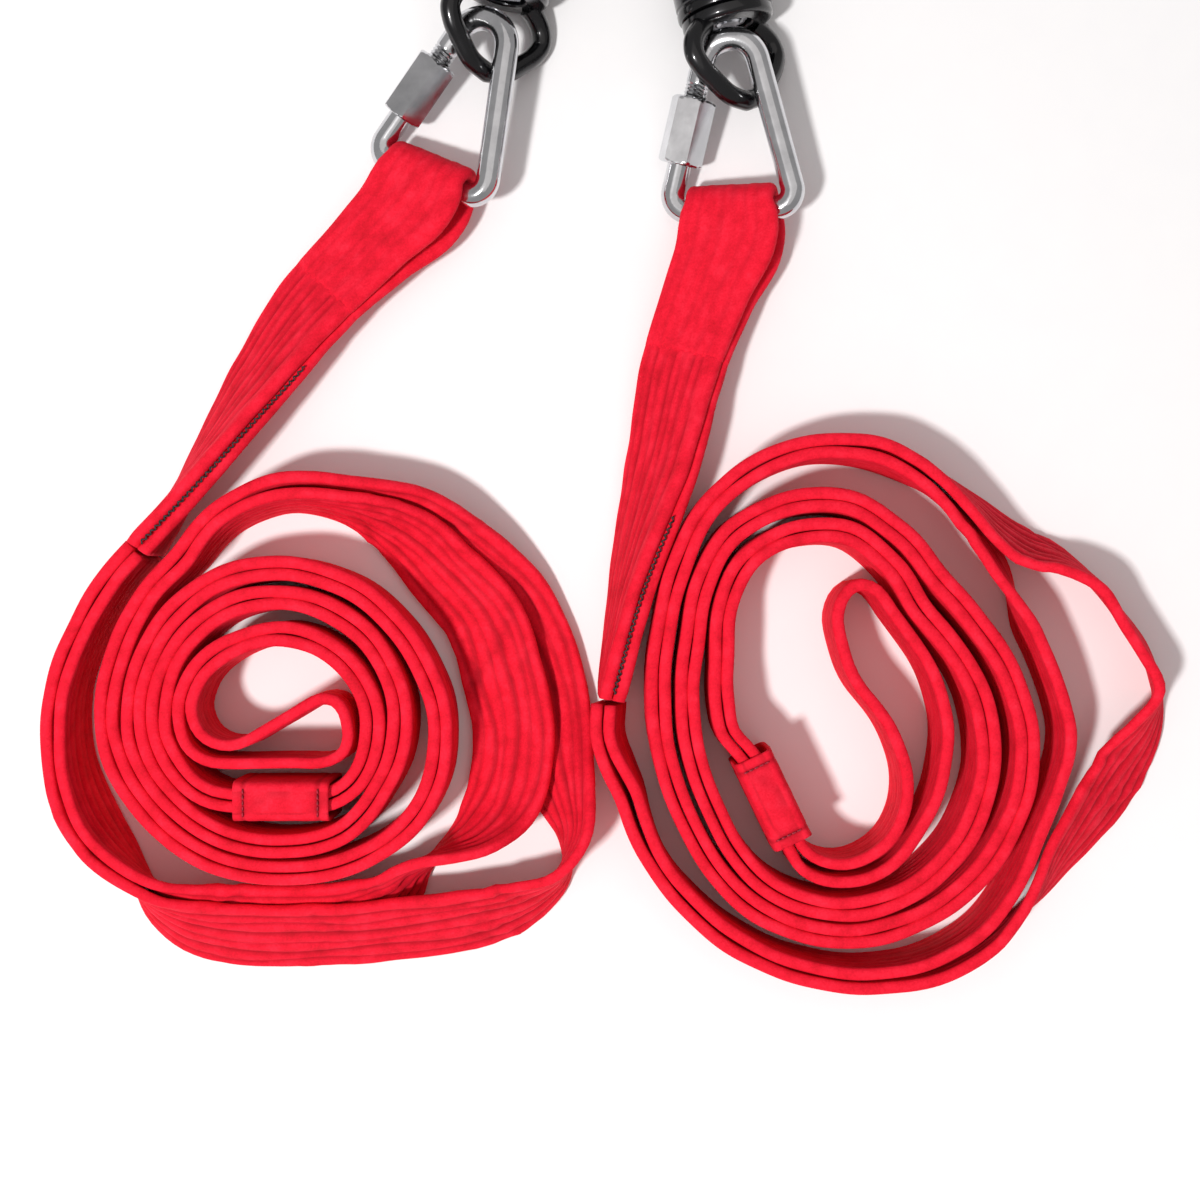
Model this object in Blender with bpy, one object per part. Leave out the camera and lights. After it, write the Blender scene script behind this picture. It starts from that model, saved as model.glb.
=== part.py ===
"""Pair of covered webbing hand straps, each with a quick link and a swivel.

Both straps lie on a flat surface, coiled on edge. Lengths below are in
millimetres and are scaled to metres when the meshes are made.
"""
import math

import bmesh
import bpy
import numpy as np
from mathutils import Matrix, Vector

MM = 0.001
SHIFT = (-5.16, -79.97, -0.28)   # puts the origin under the middle of the pair

# ---- covered band ----------------------------------------------------------
BAND_WIDTH = 36.5
BAND_THICK = 4.5
PITCH = 5.2                     # centre to centre of two legs lying together
EDGE = 2.0                      # how far the rounded edges taper
LIFT = 0.3                      # clearance under everything that lies flat

# ---- sewn eye ---------------------------------------------------------------
EYE_WIDTH = 37.0
EYE_THICK = 5.0
EYE_BEND = 7.9                  # radius of the fold round the link's bar
EYE_STACK = 5.4                 # spacing of the two layers once they meet
HEM_AT = 64.0                   # bar to the hem of the eye sleeve
WEB_WIDTH, WEB_THICK = 32.0, 2.2
BORE_WIDTH, BORE_THICK = 33.4, 2.9
THREAD_R = 0.4

# ---- keeper -----------------------------------------------------------------
KEEPER_LENGTH = 38.5
KEEPER_DEPTH = 17.0
KEEPER_HEIGHT = 42.4
KEEPER_WALL = 2.0

# ---- quick link -------------------------------------------------------------
ROD_R = 5.0
BAR_HALF = 27.5
APEX = 103.0                     # where the two legs would meet if not rounded
CORNER_R, TOP_R = 7.0, 11.8
NUT_START, NUT_LENGTH = 20.0, 27.6
NUT_FLATS = 16.5
NUT_BORE_R = 5.45
LINK_GAP = 5.5

# ---- swivel -----------------------------------------------------------------
EYE_ROD_R = 4.1
FLANGE_R, FLANGE_IN, FLANGE_OUT = 19.0, 13.4, 18.5
HUB_R, BARREL_R, BARREL_BORE_R, BARREL_HALF = 15.0, 20.0, 15.4, 13.0
AXLE_R, AXLE_BORE_R = 5.0, 5.4
POCKET_R, POCKET_FLOOR = 9.7, 10.5
EYE_PATH = ((14.4, 17.6), (19.0, 20.8), (22.8, 25.2), (23.9, 30.0),
            (21.4, 35.6), (15.8, 41.4), (8.6, 47.4), (0.0, 50.0))

STEP = 15                       # degrees between stations once the coil is regular
FINE = 7.5                      # degrees between stations of the loose outer turn


def key(angle, radius, lean=0.0, height=None):
    """One station of a leg: where it is and how far its top edge leans inwards."""
    if height is None:
        tilt = math.radians(lean)
        height = (LIFT + BAND_WIDTH / 2 * math.cos(tilt)
                  + BAND_THICK / 2 * abs(math.sin(tilt)))
    return (angle, radius, height, lean)


LEFT = {
    "name": "left",
    "centre": (-127.35, -54.6),
    "outer_turn": (
        key(129.5, 99.6), key(150, 97.2), key(180, 96.8, -3), key(210, 93.6, -8),
        key(226, 92.0, 14), key(240, 92.5, 42), key(255, 88.2, 50),
        key(270, 85.6, 50), key(285, 88.0, 50), key(300, 95.0, 50),
        key(312, 106.5, 48), key(322, 117.5, 38), key(330, 125.0, 16),
        key(337, 126.0, -10), key(345, 118.0, -38), key(353, 110.0, -62),
        key(361, 106.4, -78), key(375, 105.0, -84), key(390, 104.0, -80),
        key(405, 101.8, -62), key(420, 102.0, -44), key(435, 101.6, -18),
        key(450, 103.0, -5), key(465, 97.0, -3), key(480, 86.9)),
    "inner_turn": (
        key(129.5, 94.2), key(150, 91.8), key(180, 91.4, -3), key(210, 88.0, -8),
        key(226, 86.2, 14), key(240, 85.0, 42), key(255, 79.9, 50),
        key(270, 77.3, 50), key(285, 78.8, 50), key(300, 78.6, 37),
        key(312, 76.0, 14), key(322, 80.5, -6), key(330, 86.0, -26),
        key(337, 90.0, -48), key(345, 91.5, -64, 12.6), key(353, 91.5, -71, 11.0),
        key(360, 91.0, -73, 10.6), key(375, 89.4, -73, 10.4),
        key(390, 91.4, -70, 11.4), key(405, 90.0, -62), key(420, 93.8, -44),
        key(435, 95.0, -18), key(450, 95.8, -7), key(465, 91.0, -4),
        key(480, 81.1)),
    # middle of the two legs, every 30 degrees from 480
    "pair_radii": (83.9, 76.6, 72.6, 64.4, 59.0, 56.0, 58.4, 62.4, 62.7, 62.0,
                   64.3, 67.5, 68.4, 65.2, 61.6, 53.6, 48.0, 45.0, 45.7, 44.2,
                   46.1, 48.9, 52.2, 55.4, 57.0, 55.0, 51.1),
    "to_keeper": ((-172.6, -66.8), (-165.2, -75.2), (-156.4, -79.9),
                  (-146.0, -81.2), (-134.0, -81.2), (-122.0, -81.2),
                  (-111.6, -81.1), (-102.8, -77.0), (-95.4, -67.4),
                  (-92.4, -54.8), (-93.4, -42.6), (-98.4, -31.4),
                  (-106.6, -22.6), (-117.4, -16.2), (-130.6, -13.8),
                  (-145.4, -16.8), (-157.4, -23.4), (-165.2, -32.6),
                  (-168.3, -43.0)),
    "loop": ((-170.2, -53.0), (-166.2, -60.6), (-158.6, -65.2), (-149.2, -66.2),
             (-138.9, -66.0), (-123.3, -65.8), (-111.5, -65.6), (-105.6, -63.2),
             (-102.6, -58.2), (-102.4, -51.6), (-103.6, -45.8),
             (-107.2, -41.0), (-112.8, -40.0), (-118.6, -42.6),
             (-126.2, -47.2), (-133.7, -51.6), (-140.9, -55.8),
             (-147.6, -58.7), (-154.0, -58.4), (-160.0, -55.6),
             (-164.0, -50.6)),
    "keeper_at": (-131.8, -81.3),
    "eye": ((-71.3, 175.4, 16.2, 74), (-75.7, 166.4, 16.2, 73.5),
            (-93.4, 148.4, 15.8, 71), (-116.8, 125.2, 15.6, 62),
            (-141.6, 90.4, 17.4, 42), (-169.6, 47.4, 19.4, 16),
            (-189.0, 20.2, 19.5, 1)),
    "stitch_from": 96.0,
    "link_pitch": 9.0,
    "swivel_tip": (-47.8, 214.4),
    "swivel_yaw": -12.0,
}

RIGHT = {
    "name": "right",
    "centre": (101.1, -54.6),
    "outer_turn": (
        key(173, 100.8, -8), key(180, 100.4, -8), key(195, 96.0, -3),
        key(210, 96.6),
        key(240, 99.2), key(270, 102.8), key(295, 106.0), key(310, 105.6, 8),
        key(320, 104.2, 20), key(330, 103.8, 32), key(340, 108.0, 42),
        key(349, 114.5, 48), key(357, 121.0, 42), key(363, 128.6, 26),
        key(368, 131.6, 14), key(375, 128.6, 16), key(382, 124.6, 14),
        key(390, 121.4, 10), key(397, 116.0, 16), key(404, 108.6, 26),
        key(412, 106.0, 24), key(420, 108.0, 17), key(430, 112.8, 8),
        key(440, 117.6), key(450, 120.0), key(465, 119.0), key(480, 112.2)),
    "inner_turn": (
        key(173, 95.4, -8), key(180, 94.8, -8), key(195, 88.8, -3),
        key(210, 90.8),
        key(240, 93.2), key(270, 97.0), key(295, 98.6), key(310, 95.4),
        key(320, 91.8), key(330, 88.4), key(340, 87.4), key(349, 88.8),
        key(357, 90.4), key(363, 89.6), key(368, 88.6), key(375, 87.2),
        key(382, 86.8), key(390, 87.2), key(397, 89.0, 8), key(404, 92.4, 17),
        key(412, 96.8, 20), key(420, 100.4, 15), key(430, 106.0, 8),
        key(440, 111.4), key(450, 114.4), key(465, 113.6), key(480, 106.6)),
    "pair_radii": (109.4, 86.6, 76.4, 74.6, 80.0, 81.9, 79.2, 75.6, 72.4, 68.8,
                   72.8, 94.2, 94.4, 73.6, 64.7, 63.0, 69.2, 70.8, 66.7, 60.8,
                   56.6, 54.8, 58.4, 81.6, 81.8, 59.6, 48.6),
    "to_keeper": ((61.0, -64.4), (65.6, -72.0), (70.0, -81.0), (74.6, -90.6),
                  (80.0, -101.6)),
    "loop_out": ((81.0, -108.2), (88.6, -112.8), (99.2, -114.2),
                 (110.8, -112.0), (120.6, -105.6),
                 (128.6, -95.6), (135.6, -82.4), (140.2, -67.4),
                 (141.4, -52.6), (137.6, -35.0), (129.6, -19.6),
                 (119.4, -5.4)),
    "loop": ((109.8, 5.4), (103.6, 6.0), (98.8, 0.6), (96.6, -7.4),
             (97.9, -17.0), (101.2, -27.4), (106.2, -36.0), (112.4, -43.8),
             (118.2, -52.4), (122.2, -62.2), (124.6, -73.4), (124.0, -84.8),
             (119.0, -95.4), (110.4, -103.2), (99.6, -107.0),
             (91.2, -106.0), (86.2, -103.8)),
    "keeper_at": (70.8, -82.6),
    "eye": ((55.2, 162.4, 16.2, 74), (54.9, 152.4, 16.2, 73.5),
            (45.6, 128.0, 15.8, 71), (36.0, 102.0, 15.6, 60),
            (26.4, 58.0, 17.4, 42), (13.2, 6.0, 19.4, 16),
            (4.2, -42.0, 19.5, 1)),
    "stitch_from": 132.0,
    "link_pitch": 9.0,
    "swivel_tip": (61.5, 202.6),
    "swivel_yaw": 13.0,
}
STRAPS = (LEFT, RIGHT)
SWIVEL_ROLL, SWIVEL_HEIGHT = 40.0, 20.4

COLOURS = {
    "velour": (0.62, 0.02, 0.05), "webbing": (0.55, 0.03, 0.05),
    "thread": (0.02, 0.02, 0.02), "red_thread": (0.42, 0.01, 0.03),
    "polished_steel": (0.78, 0.78, 0.80), "black_alloy": (0.02, 0.02, 0.022),
    "plain_steel": (0.55, 0.55, 0.57),
}


# ---- curves -----------------------------------------------------------------
def hermite(knots, values, at):
    """Smooth curve through values at knots, read at the places asked for."""
    knots, values, at = (np.asarray(v, float) for v in (knots, values, at))
    slope = np.gradient(values, knots, axis=0)
    i = np.clip(np.searchsorted(knots, at, "right") - 1, 0, len(knots) - 2)
    span = knots[i + 1] - knots[i]
    u = (at - knots[i]) / span
    u, span = u[:, None], span[:, None]
    return ((2 * u**3 - 3 * u**2 + 1) * values[i]
            + (u**3 - 2 * u**2 + u) * span * slope[i]
            + (3 * u**2 - 2 * u**3) * values[i + 1]
            + (u**3 - u**2) * span * slope[i + 1])


def chord_knots(points):
    """Distances along a chain of points."""
    steps = np.linalg.norm(np.diff(points[:, :2], axis=0), axis=1)
    return np.concatenate([[0.0], np.cumsum(steps)])


def resample(points, spacing):
    """Points, heights and leans spaced evenly along a smooth curve."""
    points = np.asarray(points, float)
    knots = chord_knots(points)
    count = max(2, int(round(knots[-1] / spacing)) + 1)
    return hermite(knots, points, np.linspace(0, knots[-1], count))


def normals_2d(points):
    """Unit normals to the right of travel."""
    run = np.gradient(points[:, :2], axis=0)
    run /= np.linalg.norm(run, axis=1)[:, None]
    return np.stack([run[:, 1], -run[:, 0]], axis=1)


def outer_turn(strap, which):
    """The loose first turn of one leg, as x, y, height and lean."""
    keys = np.array(strap[which])
    angles = np.append(np.arange(keys[0, 0], 480 - FINE / 2, FINE), 480.0)
    radius, height, lean = hermite(keys[:, 0], keys[:, 1:], angles).T
    turn = np.radians(angles)
    return np.stack([strap["centre"][0] + radius * np.cos(turn),
                     strap["centre"][1] + radius * np.sin(turn),
                     height, lean], axis=1)


def pair_line(strap):
    """The middle of the two legs from the second turn to the hand loop."""
    radii = np.array(strap["pair_radii"])
    knots = 480.0 + 30.0 * np.arange(len(radii))
    angles = np.arange(480.0, knots[-1] + 1, STEP)
    radius = hermite(knots, radii[:, None], angles)[:, 0]
    turn = np.radians(angles)
    coil = np.stack([strap["centre"][0] + radius * np.cos(turn),
                     strap["centre"][1] + radius * np.sin(turn)], axis=1)
    rest = np.array(strap["to_keeper"])
    tail = resample(np.vstack([coil[-3:], rest]), 7.5)
    skip = np.searchsorted(chord_knots(tail), np.linalg.norm(coil[-1] - coil[-3]))
    return np.vstack([coil, tail[skip + 1:]])


def keeper_lift(strap, points):
    """Height of a band's middle: it is raised a little where the keeper holds it."""
    base = LIFT + BAND_WIDTH / 2
    reach = np.hypot(*(points[:, :2] - np.array(strap["keeper_at"])).T)
    return base + (KEEPER_HEIGHT / 2 - base + LIFT) * np.clip(1.6 - reach / 45, 0, 1)


def band_stations(strap):
    """The whole band: in along the outer leg, round the loop, back along the inner."""
    pair = pair_line(strap)
    side = normals_2d(pair)
    outer = pair + side * PITCH / 2
    inner = pair - side * PITCH / 2
    middle = np.array(strap.get("loop_out", ()) + strap["loop"])
    loop = resample(np.vstack([outer[-1:], middle, inner[-1:]]), 6.0)[1:-1]
    flat = np.vstack([outer, loop, inner[::-1]])
    flat = np.column_stack([flat, keeper_lift(strap, flat), np.zeros(len(flat))])
    first = outer_turn(strap, "outer_turn")[:-1]
    last = outer_turn(strap, "inner_turn")[-2::-1] * (1, 1, 1, -1)
    return np.vstack([first, flat, last])


def frames(points, width_dirs):
    """Re-squared width and thickness directions for a chain of points."""
    run = np.gradient(points, axis=0)
    run /= np.linalg.norm(run, axis=1)[:, None]
    thick = np.cross(run, width_dirs)
    thick /= np.linalg.norm(thick, axis=1)[:, None]
    return np.cross(thick, run), thick


def leaning(stations):
    """Points and width directions from stations of x, y, height and lean."""
    points = stations[:, :3]
    side = np.column_stack([normals_2d(stations), np.zeros(len(stations))])
    tilt = np.radians(stations[:, 3])[:, None]
    return points, np.cos(tilt) * np.array([0, 0, 1.0]) - np.sin(tilt) * side


# ---- meshes -----------------------------------------------------------------
def section(width, thick, edge=EDGE):
    """A flat band's cross-section with tapered edges."""
    w, t = width / 2, thick / 2
    return np.array([(-w, 0), (-w + edge, -t), (w - edge, -t),
                     (w, 0), (w - edge, t), (-w + edge, t)])


def box_section(width, thick):
    w, t = width / 2, thick / 2
    return np.array([(-w, -t), (w, -t), (w, t), (-w, t)])


def add_object(name, colour, verts, faces):
    """One closed mesh object in metres, with its own material."""
    mesh = bpy.data.meshes.new(name)
    mesh.from_pydata(((np.asarray(verts) + SHIFT) * MM).tolist(), [], faces)
    bm = bmesh.new()
    bm.from_mesh(mesh)
    bmesh.ops.recalc_face_normals(bm, faces=bm.faces)
    bm.to_mesh(mesh)
    bm.free()
    obj = bpy.data.objects.new(name, mesh)
    bpy.context.collection.objects.link(obj)
    material = bpy.data.materials.new(name)
    material.use_nodes = True
    shader = material.node_tree.nodes["Principled BSDF"]
    shader.inputs["Base Color"].default_value = (*COLOURS[colour], 1.0)
    metal = colour in ("polished_steel", "black_alloy", "plain_steel")
    shader.inputs["Metallic"].default_value = 1.0 if metal else 0.0
    shader.inputs["Roughness"].default_value = 0.25 if metal else 0.85
    mesh.materials.append(material)
    return obj


def ring_faces(rings, count, start=0, flip=False):
    """Quads between successive rings of a sweep."""
    faces = []
    for i in range(rings - 1):
        a, b = start + i * count, start + (i + 1) * count
        for j in range(count):
            k = (j + 1) % count
            quad = (a + j, a + k, b + k, b + j)
            faces.append(quad[::-1] if flip else quad)
    return faces


def split_quads(verts, faces, centre):
    """Quads cut along the diagonal that climbs anticlockwise, so twisted legs nest."""
    def climb(start, end):
        a, b = verts[start] - centre, verts[end] - centre
        return (a[0] * b[1] - a[1] * b[0]) * (b[2] - a[2])

    out = []
    for face in faces:
        if len(face) != 4:
            out.append(face)
        elif climb(face[0], face[2]) >= climb(face[1], face[3]):
            out += [(face[0], face[1], face[2]), (face[0], face[2], face[3])]
        else:
            out += [(face[0], face[1], face[3]), (face[1], face[2], face[3])]
    return out


def sweep(name, colour, points, wide, thick, shape, bore=None, centre=(0, 0, 0)):
    """A section carried along points, solid or with a bore right through."""
    def lay(profile):
        return (points[:, None] + profile[None, :, :1] * wide[:, None]
                + profile[None, :, 1:] * thick[:, None]).reshape(-1, 3)

    rings, count = len(points), len(shape)
    verts, faces = lay(shape), ring_faces(rings, count)
    if bore is None:
        faces += [tuple(range(count)), tuple((rings - 1) * count + j
                                             for j in reversed(range(count)))]
        return add_object(name, colour, verts, split_quads(verts, faces, centre))
    start, inner = len(verts), len(bore)
    verts = np.vstack([verts, lay(bore)])
    faces += ring_faces(rings, inner, start, flip=True)
    for ring in (0, rings - 1):
        o, i = ring * count, start + ring * inner
        for a in range(inner):                  # bore corner a faces outer corners
            near, b = (a * 2, a * 2 + 1), (a + 1) % inner
            faces.append((o + near[0], o + near[1], i + a))
            faces.append((o + near[1], o + (near[1] + 1) % count, i + b, i + a))
    return add_object(name, colour, verts, split_quads(verts, faces, centre))


def octagon(width, thick, edge=EDGE):
    """Band section with eight corners, two facing each corner of a bore."""
    w, t, e = width / 2, thick / 2, edge
    return np.array([(-w, -t / 3), (-w + e, -t), (w - e, -t), (w, -t / 3),
                     (w, t / 3), (w - e, t), (-w + e, t), (-w, t / 3)])


def revolve(name, colour, profile, sides=20):
    """Closed profile of (radius, along Y) turned about the Y axis."""
    turn = np.arange(sides) * 2 * math.pi / sides
    verts = [(r * math.cos(a), y, r * math.sin(a)) for a in turn for r, y in profile]
    count = len(profile)
    faces = [(i * count + j, i * count + (j + 1) % count,
              (i + 1) % sides * count + (j + 1) % count, (i + 1) % sides * count + j)
             for i in range(sides) for j in range(count)]
    return verts, faces


def round_rod(path, radius, sides=8):
    """A round bar along a flat path in XY, as verts and faces."""
    path = np.asarray(path, float)
    side = np.column_stack([normals_2d(path), np.zeros(len(path))])
    turn = (np.arange(sides) + 0.5) * 2 * math.pi / sides
    points = np.column_stack([path, np.zeros(len(path))])
    verts = (points[:, None]
             + radius * np.cos(turn)[None, :, None] * side[:, None]
             + radius * np.sin(turn)[None, :, None] * np.array([0, 0, 1.0]))
    rings = len(path)
    faces = ring_faces(rings, sides) + [
        tuple(range(sides)), tuple((rings - 1) * sides + j for j in reversed(range(sides)))]
    return verts.reshape(-1, 3), faces


def place(verts, matrix):
    """Verts moved by a 4 by 4 matrix in millimetres."""
    return [tuple(matrix @ Vector(v)) for v in verts]


# ---- soft parts -------------------------------------------------------------
def eye_route(strap):
    """Middle line of the sewn eye, bar to squared end: points, width, thickness."""
    stations = resample(strap["eye"], 8.0)
    points, wide = leaning(stations)
    wide, thick = frames(points, wide)
    return points, wide, thick, chord_knots(points)


def eye_spread(distance):
    """Spacing of the two layers at a distance from the bar."""
    u = np.clip(distance / HEM_AT, 0, 1)
    return EYE_STACK + (2 * EYE_BEND - EYE_STACK) * (1 - u * u * (3 - 2 * u))


def eye_layers(strap, start, stop, turn_back):
    """Points and directions along each layer, or round the bar from one to the other."""
    points, wide, thick, run = eye_route(strap)
    at = np.concatenate([[start], run[(run > start + 3) & (run < stop - 3)], [stop]])
    points, wide, thick = (hermite(run, v, at) for v in (points, wide, thick))
    upper = points + thick * eye_spread(at)[:, None] / 2
    lower = points - thick * eye_spread(at)[:, None] / 2
    if not turn_back:
        return (upper, wide, thick), (lower, wide, thick)
    away = np.cross(thick[0], wide[0])
    away *= np.sign(np.dot(away, points[0] - points[1]))
    arc = np.radians(np.arange(-75, 76, 25))[:, None]
    out = np.sin(arc) * thick[0] + np.cos(arc) * away
    return (np.vstack([lower[::-1], points[0] + EYE_BEND * out, upper]),
            np.vstack([wide[::-1], np.repeat(wide[:1], len(arc), 0), wide]),
            np.vstack([-thick[::-1], out, thick]))


def build_eye(strap):
    name = strap["name"]
    end = eye_route(strap)[3][-1] - 1.3
    shell = (octagon(EYE_WIDTH, EYE_THICK), box_section(BORE_WIDTH, BORE_THICK))
    sweep(f"{name}_eye_webbing", "webbing", *eye_layers(strap, 0.0, end, True),
          box_section(WEB_WIDTH, WEB_THICK))
    sweep(f"{name}_eye_sleeve", "velour", *eye_layers(strap, 0.0, HEM_AT, True), *shell)
    upper, lower = eye_layers(strap, HEM_AT + 0.4, end, False)
    sweep(f"{name}_splice_upper", "velour", *upper, *shell)
    sweep(f"{name}_splice_lower", "velour", *lower, *shell)


def build_splice_thread(strap):
    """Black zigzag thread in the groove between the two layers' upper edges."""
    points, wide, thick, run = eye_route(strap)
    at = np.arange(strap["stitch_from"], run[-1] - 4, 3.0)
    points, wide, thick = (hermite(run, v, at) for v in (points, wide, thick))
    swing = 0.45 * (-1.0) ** np.arange(len(at))[:, None]
    path = points + wide * (EYE_WIDTH / 2 - 0.1) + thick * swing
    sweep(f"{strap['name']}_splice_stitching", "thread", path, *frames(path, wide),
          box_section(2 * THREAD_R, 2 * THREAD_R))


def build_band(strap):
    points, wide = leaning(band_stations(strap))
    sweep(f"{strap['name']}_band", "velour", points, *frames(points, wide),
          section(BAND_WIDTH, BAND_THICK), centre=(*strap["centre"], 0.0))


def keeper_frame(strap):
    """Where the keeper sits and which way the legs run through it."""
    line = pair_line(strap)
    i = int(np.argmin(np.hypot(*(line - np.array(strap["keeper_at"])).T)))
    run = line[i + 1] - line[i - 1]
    angle = math.atan2(run[1], run[0])
    return (Matrix.Translation((*line[i], LIFT + KEEPER_HEIGHT / 2))
            @ Matrix.Rotation(angle, 4, "Z"))


def build_keeper(strap):
    """A covered loop round both legs, with two rows of stitching across its top."""
    frame, name = keeper_frame(strap), strap["name"]
    half = KEEPER_LENGTH / 2
    shape = octagon(KEEPER_HEIGHT, KEEPER_DEPTH, 1.6)
    bore = box_section(KEEPER_HEIGHT - 2 * KEEPER_WALL, KEEPER_DEPTH - 2 * KEEPER_WALL)
    points = np.array([tuple(frame @ Vector((x, 0, 0))) for x in (-half, 0, half)])
    wide = np.tile((0, 0, 1.0), (3, 1))
    sweep(f"{name}_keeper", "velour", points, *frames(points, wide), shape, bore)
    reach = KEEPER_DEPTH / 2 - 3.2
    for row, x in (("a", -half + 4.2), ("b", half - 4.2)):
        across = np.array([tuple(frame @ Vector((x + 0.35 * (-1) ** k, y, KEEPER_HEIGHT / 2 + 0.7)))
                           for k, y in enumerate(np.linspace(-reach, reach, 8))])
        sweep(f"{name}_keeper_stitching_{row}", "red_thread", across,
              *frames(across, np.tile((0, 0, 1.0), (8, 1))), box_section(0.7, 0.7))


# ---- quick link -------------------------------------------------------------
def link_frame(strap):
    """Bar centre at the origin, bar along X, top bend towards +Y."""
    points, wide, thick, _ = eye_route(strap)
    away = np.cross(thick[0], wide[0])
    axes = Matrix((wide[0], away, thick[0])).transposed().to_4x4()
    return (Matrix.Translation(points[0]) @ axes
            @ Matrix.Rotation(math.radians(strap["link_pitch"]), 4, "X"))


def rounded_corner(before, corner, after, radius, count):
    """Points of the arc that rounds one corner of a path."""
    a, b = np.subtract(before, corner), np.subtract(after, corner)
    a, b = a / np.linalg.norm(a), b / np.linalg.norm(b)
    half = math.acos(float(np.dot(a, b))) / 2
    bisector = (a + b) / np.linalg.norm(a + b)
    centre = np.array(corner) + bisector * radius / math.sin(half)
    start = np.array(corner) + a * radius / math.tan(half) - centre
    total = math.copysign(math.pi - 2 * half, -(a[0] * b[1] - a[1] * b[0]))
    turn = np.linspace(0, total, count)
    return [centre + (start[0] * math.cos(t) - start[1] * math.sin(t),
                      start[0] * math.sin(t) + start[1] * math.cos(t)) for t in turn]


def link_path():
    """From the lower side of the gap, round the bar and top bend, to its upper side."""
    left, right, top = (-BAR_HALF, 0.0), (BAR_HALF, 0.0), (0.0, APEX)
    leg = np.subtract(top, left) / np.linalg.norm(np.subtract(top, left))
    gap = NUT_START + NUT_LENGTH - 2.5
    return np.array([left + leg * (gap - LINK_GAP), left + leg * (NUT_START + 4)]
                    + rounded_corner(top, left, right, CORNER_R, 6)
                    + rounded_corner(left, right, top, CORNER_R, 6)
                    + rounded_corner(right, top, left, TOP_R, 9)
                    + [left + leg * (gap + 2), left + leg * gap])


def build_link(strap):
    frame, name = link_frame(strap), strap["name"]
    verts, faces = round_rod(link_path(), ROD_R, 10)
    add_object(f"{name}_link", "polished_steel", place(verts, frame), faces)
    outer = NUT_FLATS / 2 / math.cos(math.radians(30))
    lean = math.atan2(BAR_HALF, APEX)
    slide = (Matrix.Translation((-BAR_HALF, 0, 0)) @ Matrix.Rotation(-lean, 4, "Z")
             @ Matrix.Translation((0, NUT_START, 0)))
    verts, faces = [], []
    stops = ((0.0, outer - 1.2), (1.2, outer), (NUT_LENGTH - 1.2, outer),
             (NUT_LENGTH, outer - 1.2))
    rings = [[(r * math.cos(a), y, r * math.sin(a))
              for a in (math.radians(60 * k) for k in range(6))] for y, r in stops]
    bores = [[(NUT_BORE_R * math.cos(a), y, NUT_BORE_R * math.sin(a))
              for a in (math.radians(30 * k) for k in range(12))] for y in (0.0, NUT_LENGTH)]
    for ring in rings + bores:
        verts += ring
    faces += ring_faces(4, 6) + ring_faces(2, 12, 24, flip=True)
    for hexagon, circle in ((0, 24), (18, 36)):
        for k in range(6):
            a, b = hexagon + k, hexagon + (k + 1) % 6
            c, d, e = (circle + (2 * k + j) % 12 for j in range(3))
            faces += [(a, c, d), (a, d, b), (b, d, e)]
    add_object(f"{name}_link_nut", "polished_steel", place(verts, frame @ slide), faces)


# ---- swivel -----------------------------------------------------------------
def swivel_frame(strap):
    """Middle of the barrel at the origin, lower eye towards -Y."""
    x, y = strap["swivel_tip"]
    yaw = Matrix.Rotation(math.radians(strap["swivel_yaw"]), 4, "Z")
    return (Matrix.Translation((x, y, SWIVEL_HEIGHT)) @ yaw
            @ Matrix.Translation((0, EYE_PATH[-1][1] + EYE_ROD_R, 0)))


def swivel_eye(name, matrix):
    """An eye of round bar standing on a flanged hub with a stepped bore."""
    hub = ((AXLE_BORE_R, 4.4), (HUB_R, 4.4), (HUB_R, FLANGE_IN), (FLANGE_R, FLANGE_IN),
           (FLANGE_R, FLANGE_OUT - 1.2), (FLANGE_R - 1.2, FLANGE_OUT),
           (POCKET_R, FLANGE_OUT), (POCKET_R, POCKET_FLOOR), (AXLE_BORE_R, POCKET_FLOOR))
    verts, faces = revolve(name, "black_alloy", hub)
    body = add_object(name, "black_alloy", place(verts, matrix), faces)
    half = np.array(EYE_PATH)
    knots = chord_knots(half)
    curve = hermite(knots, half, np.linspace(0, knots[-1], 10))
    path = np.vstack([curve, (curve * (-1, 1))[-2::-1]])
    verts, faces = round_rod(path, EYE_ROD_R)
    bar = add_object(f"{name}_bar", "black_alloy", place(verts, matrix), faces)
    join = body.modifiers.new("join", "BOOLEAN")
    join.operation, join.solver, join.object = "UNION", "EXACT", bar
    bpy.context.view_layer.objects.active = body
    bpy.ops.object.modifier_apply(modifier=join.name)
    bpy.data.objects.remove(bar)


def turned(name, colour, profile, matrix, sides=20):
    verts, faces = revolve(name, colour, profile, sides)
    add_object(name, colour, place(verts, matrix), faces)


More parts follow.
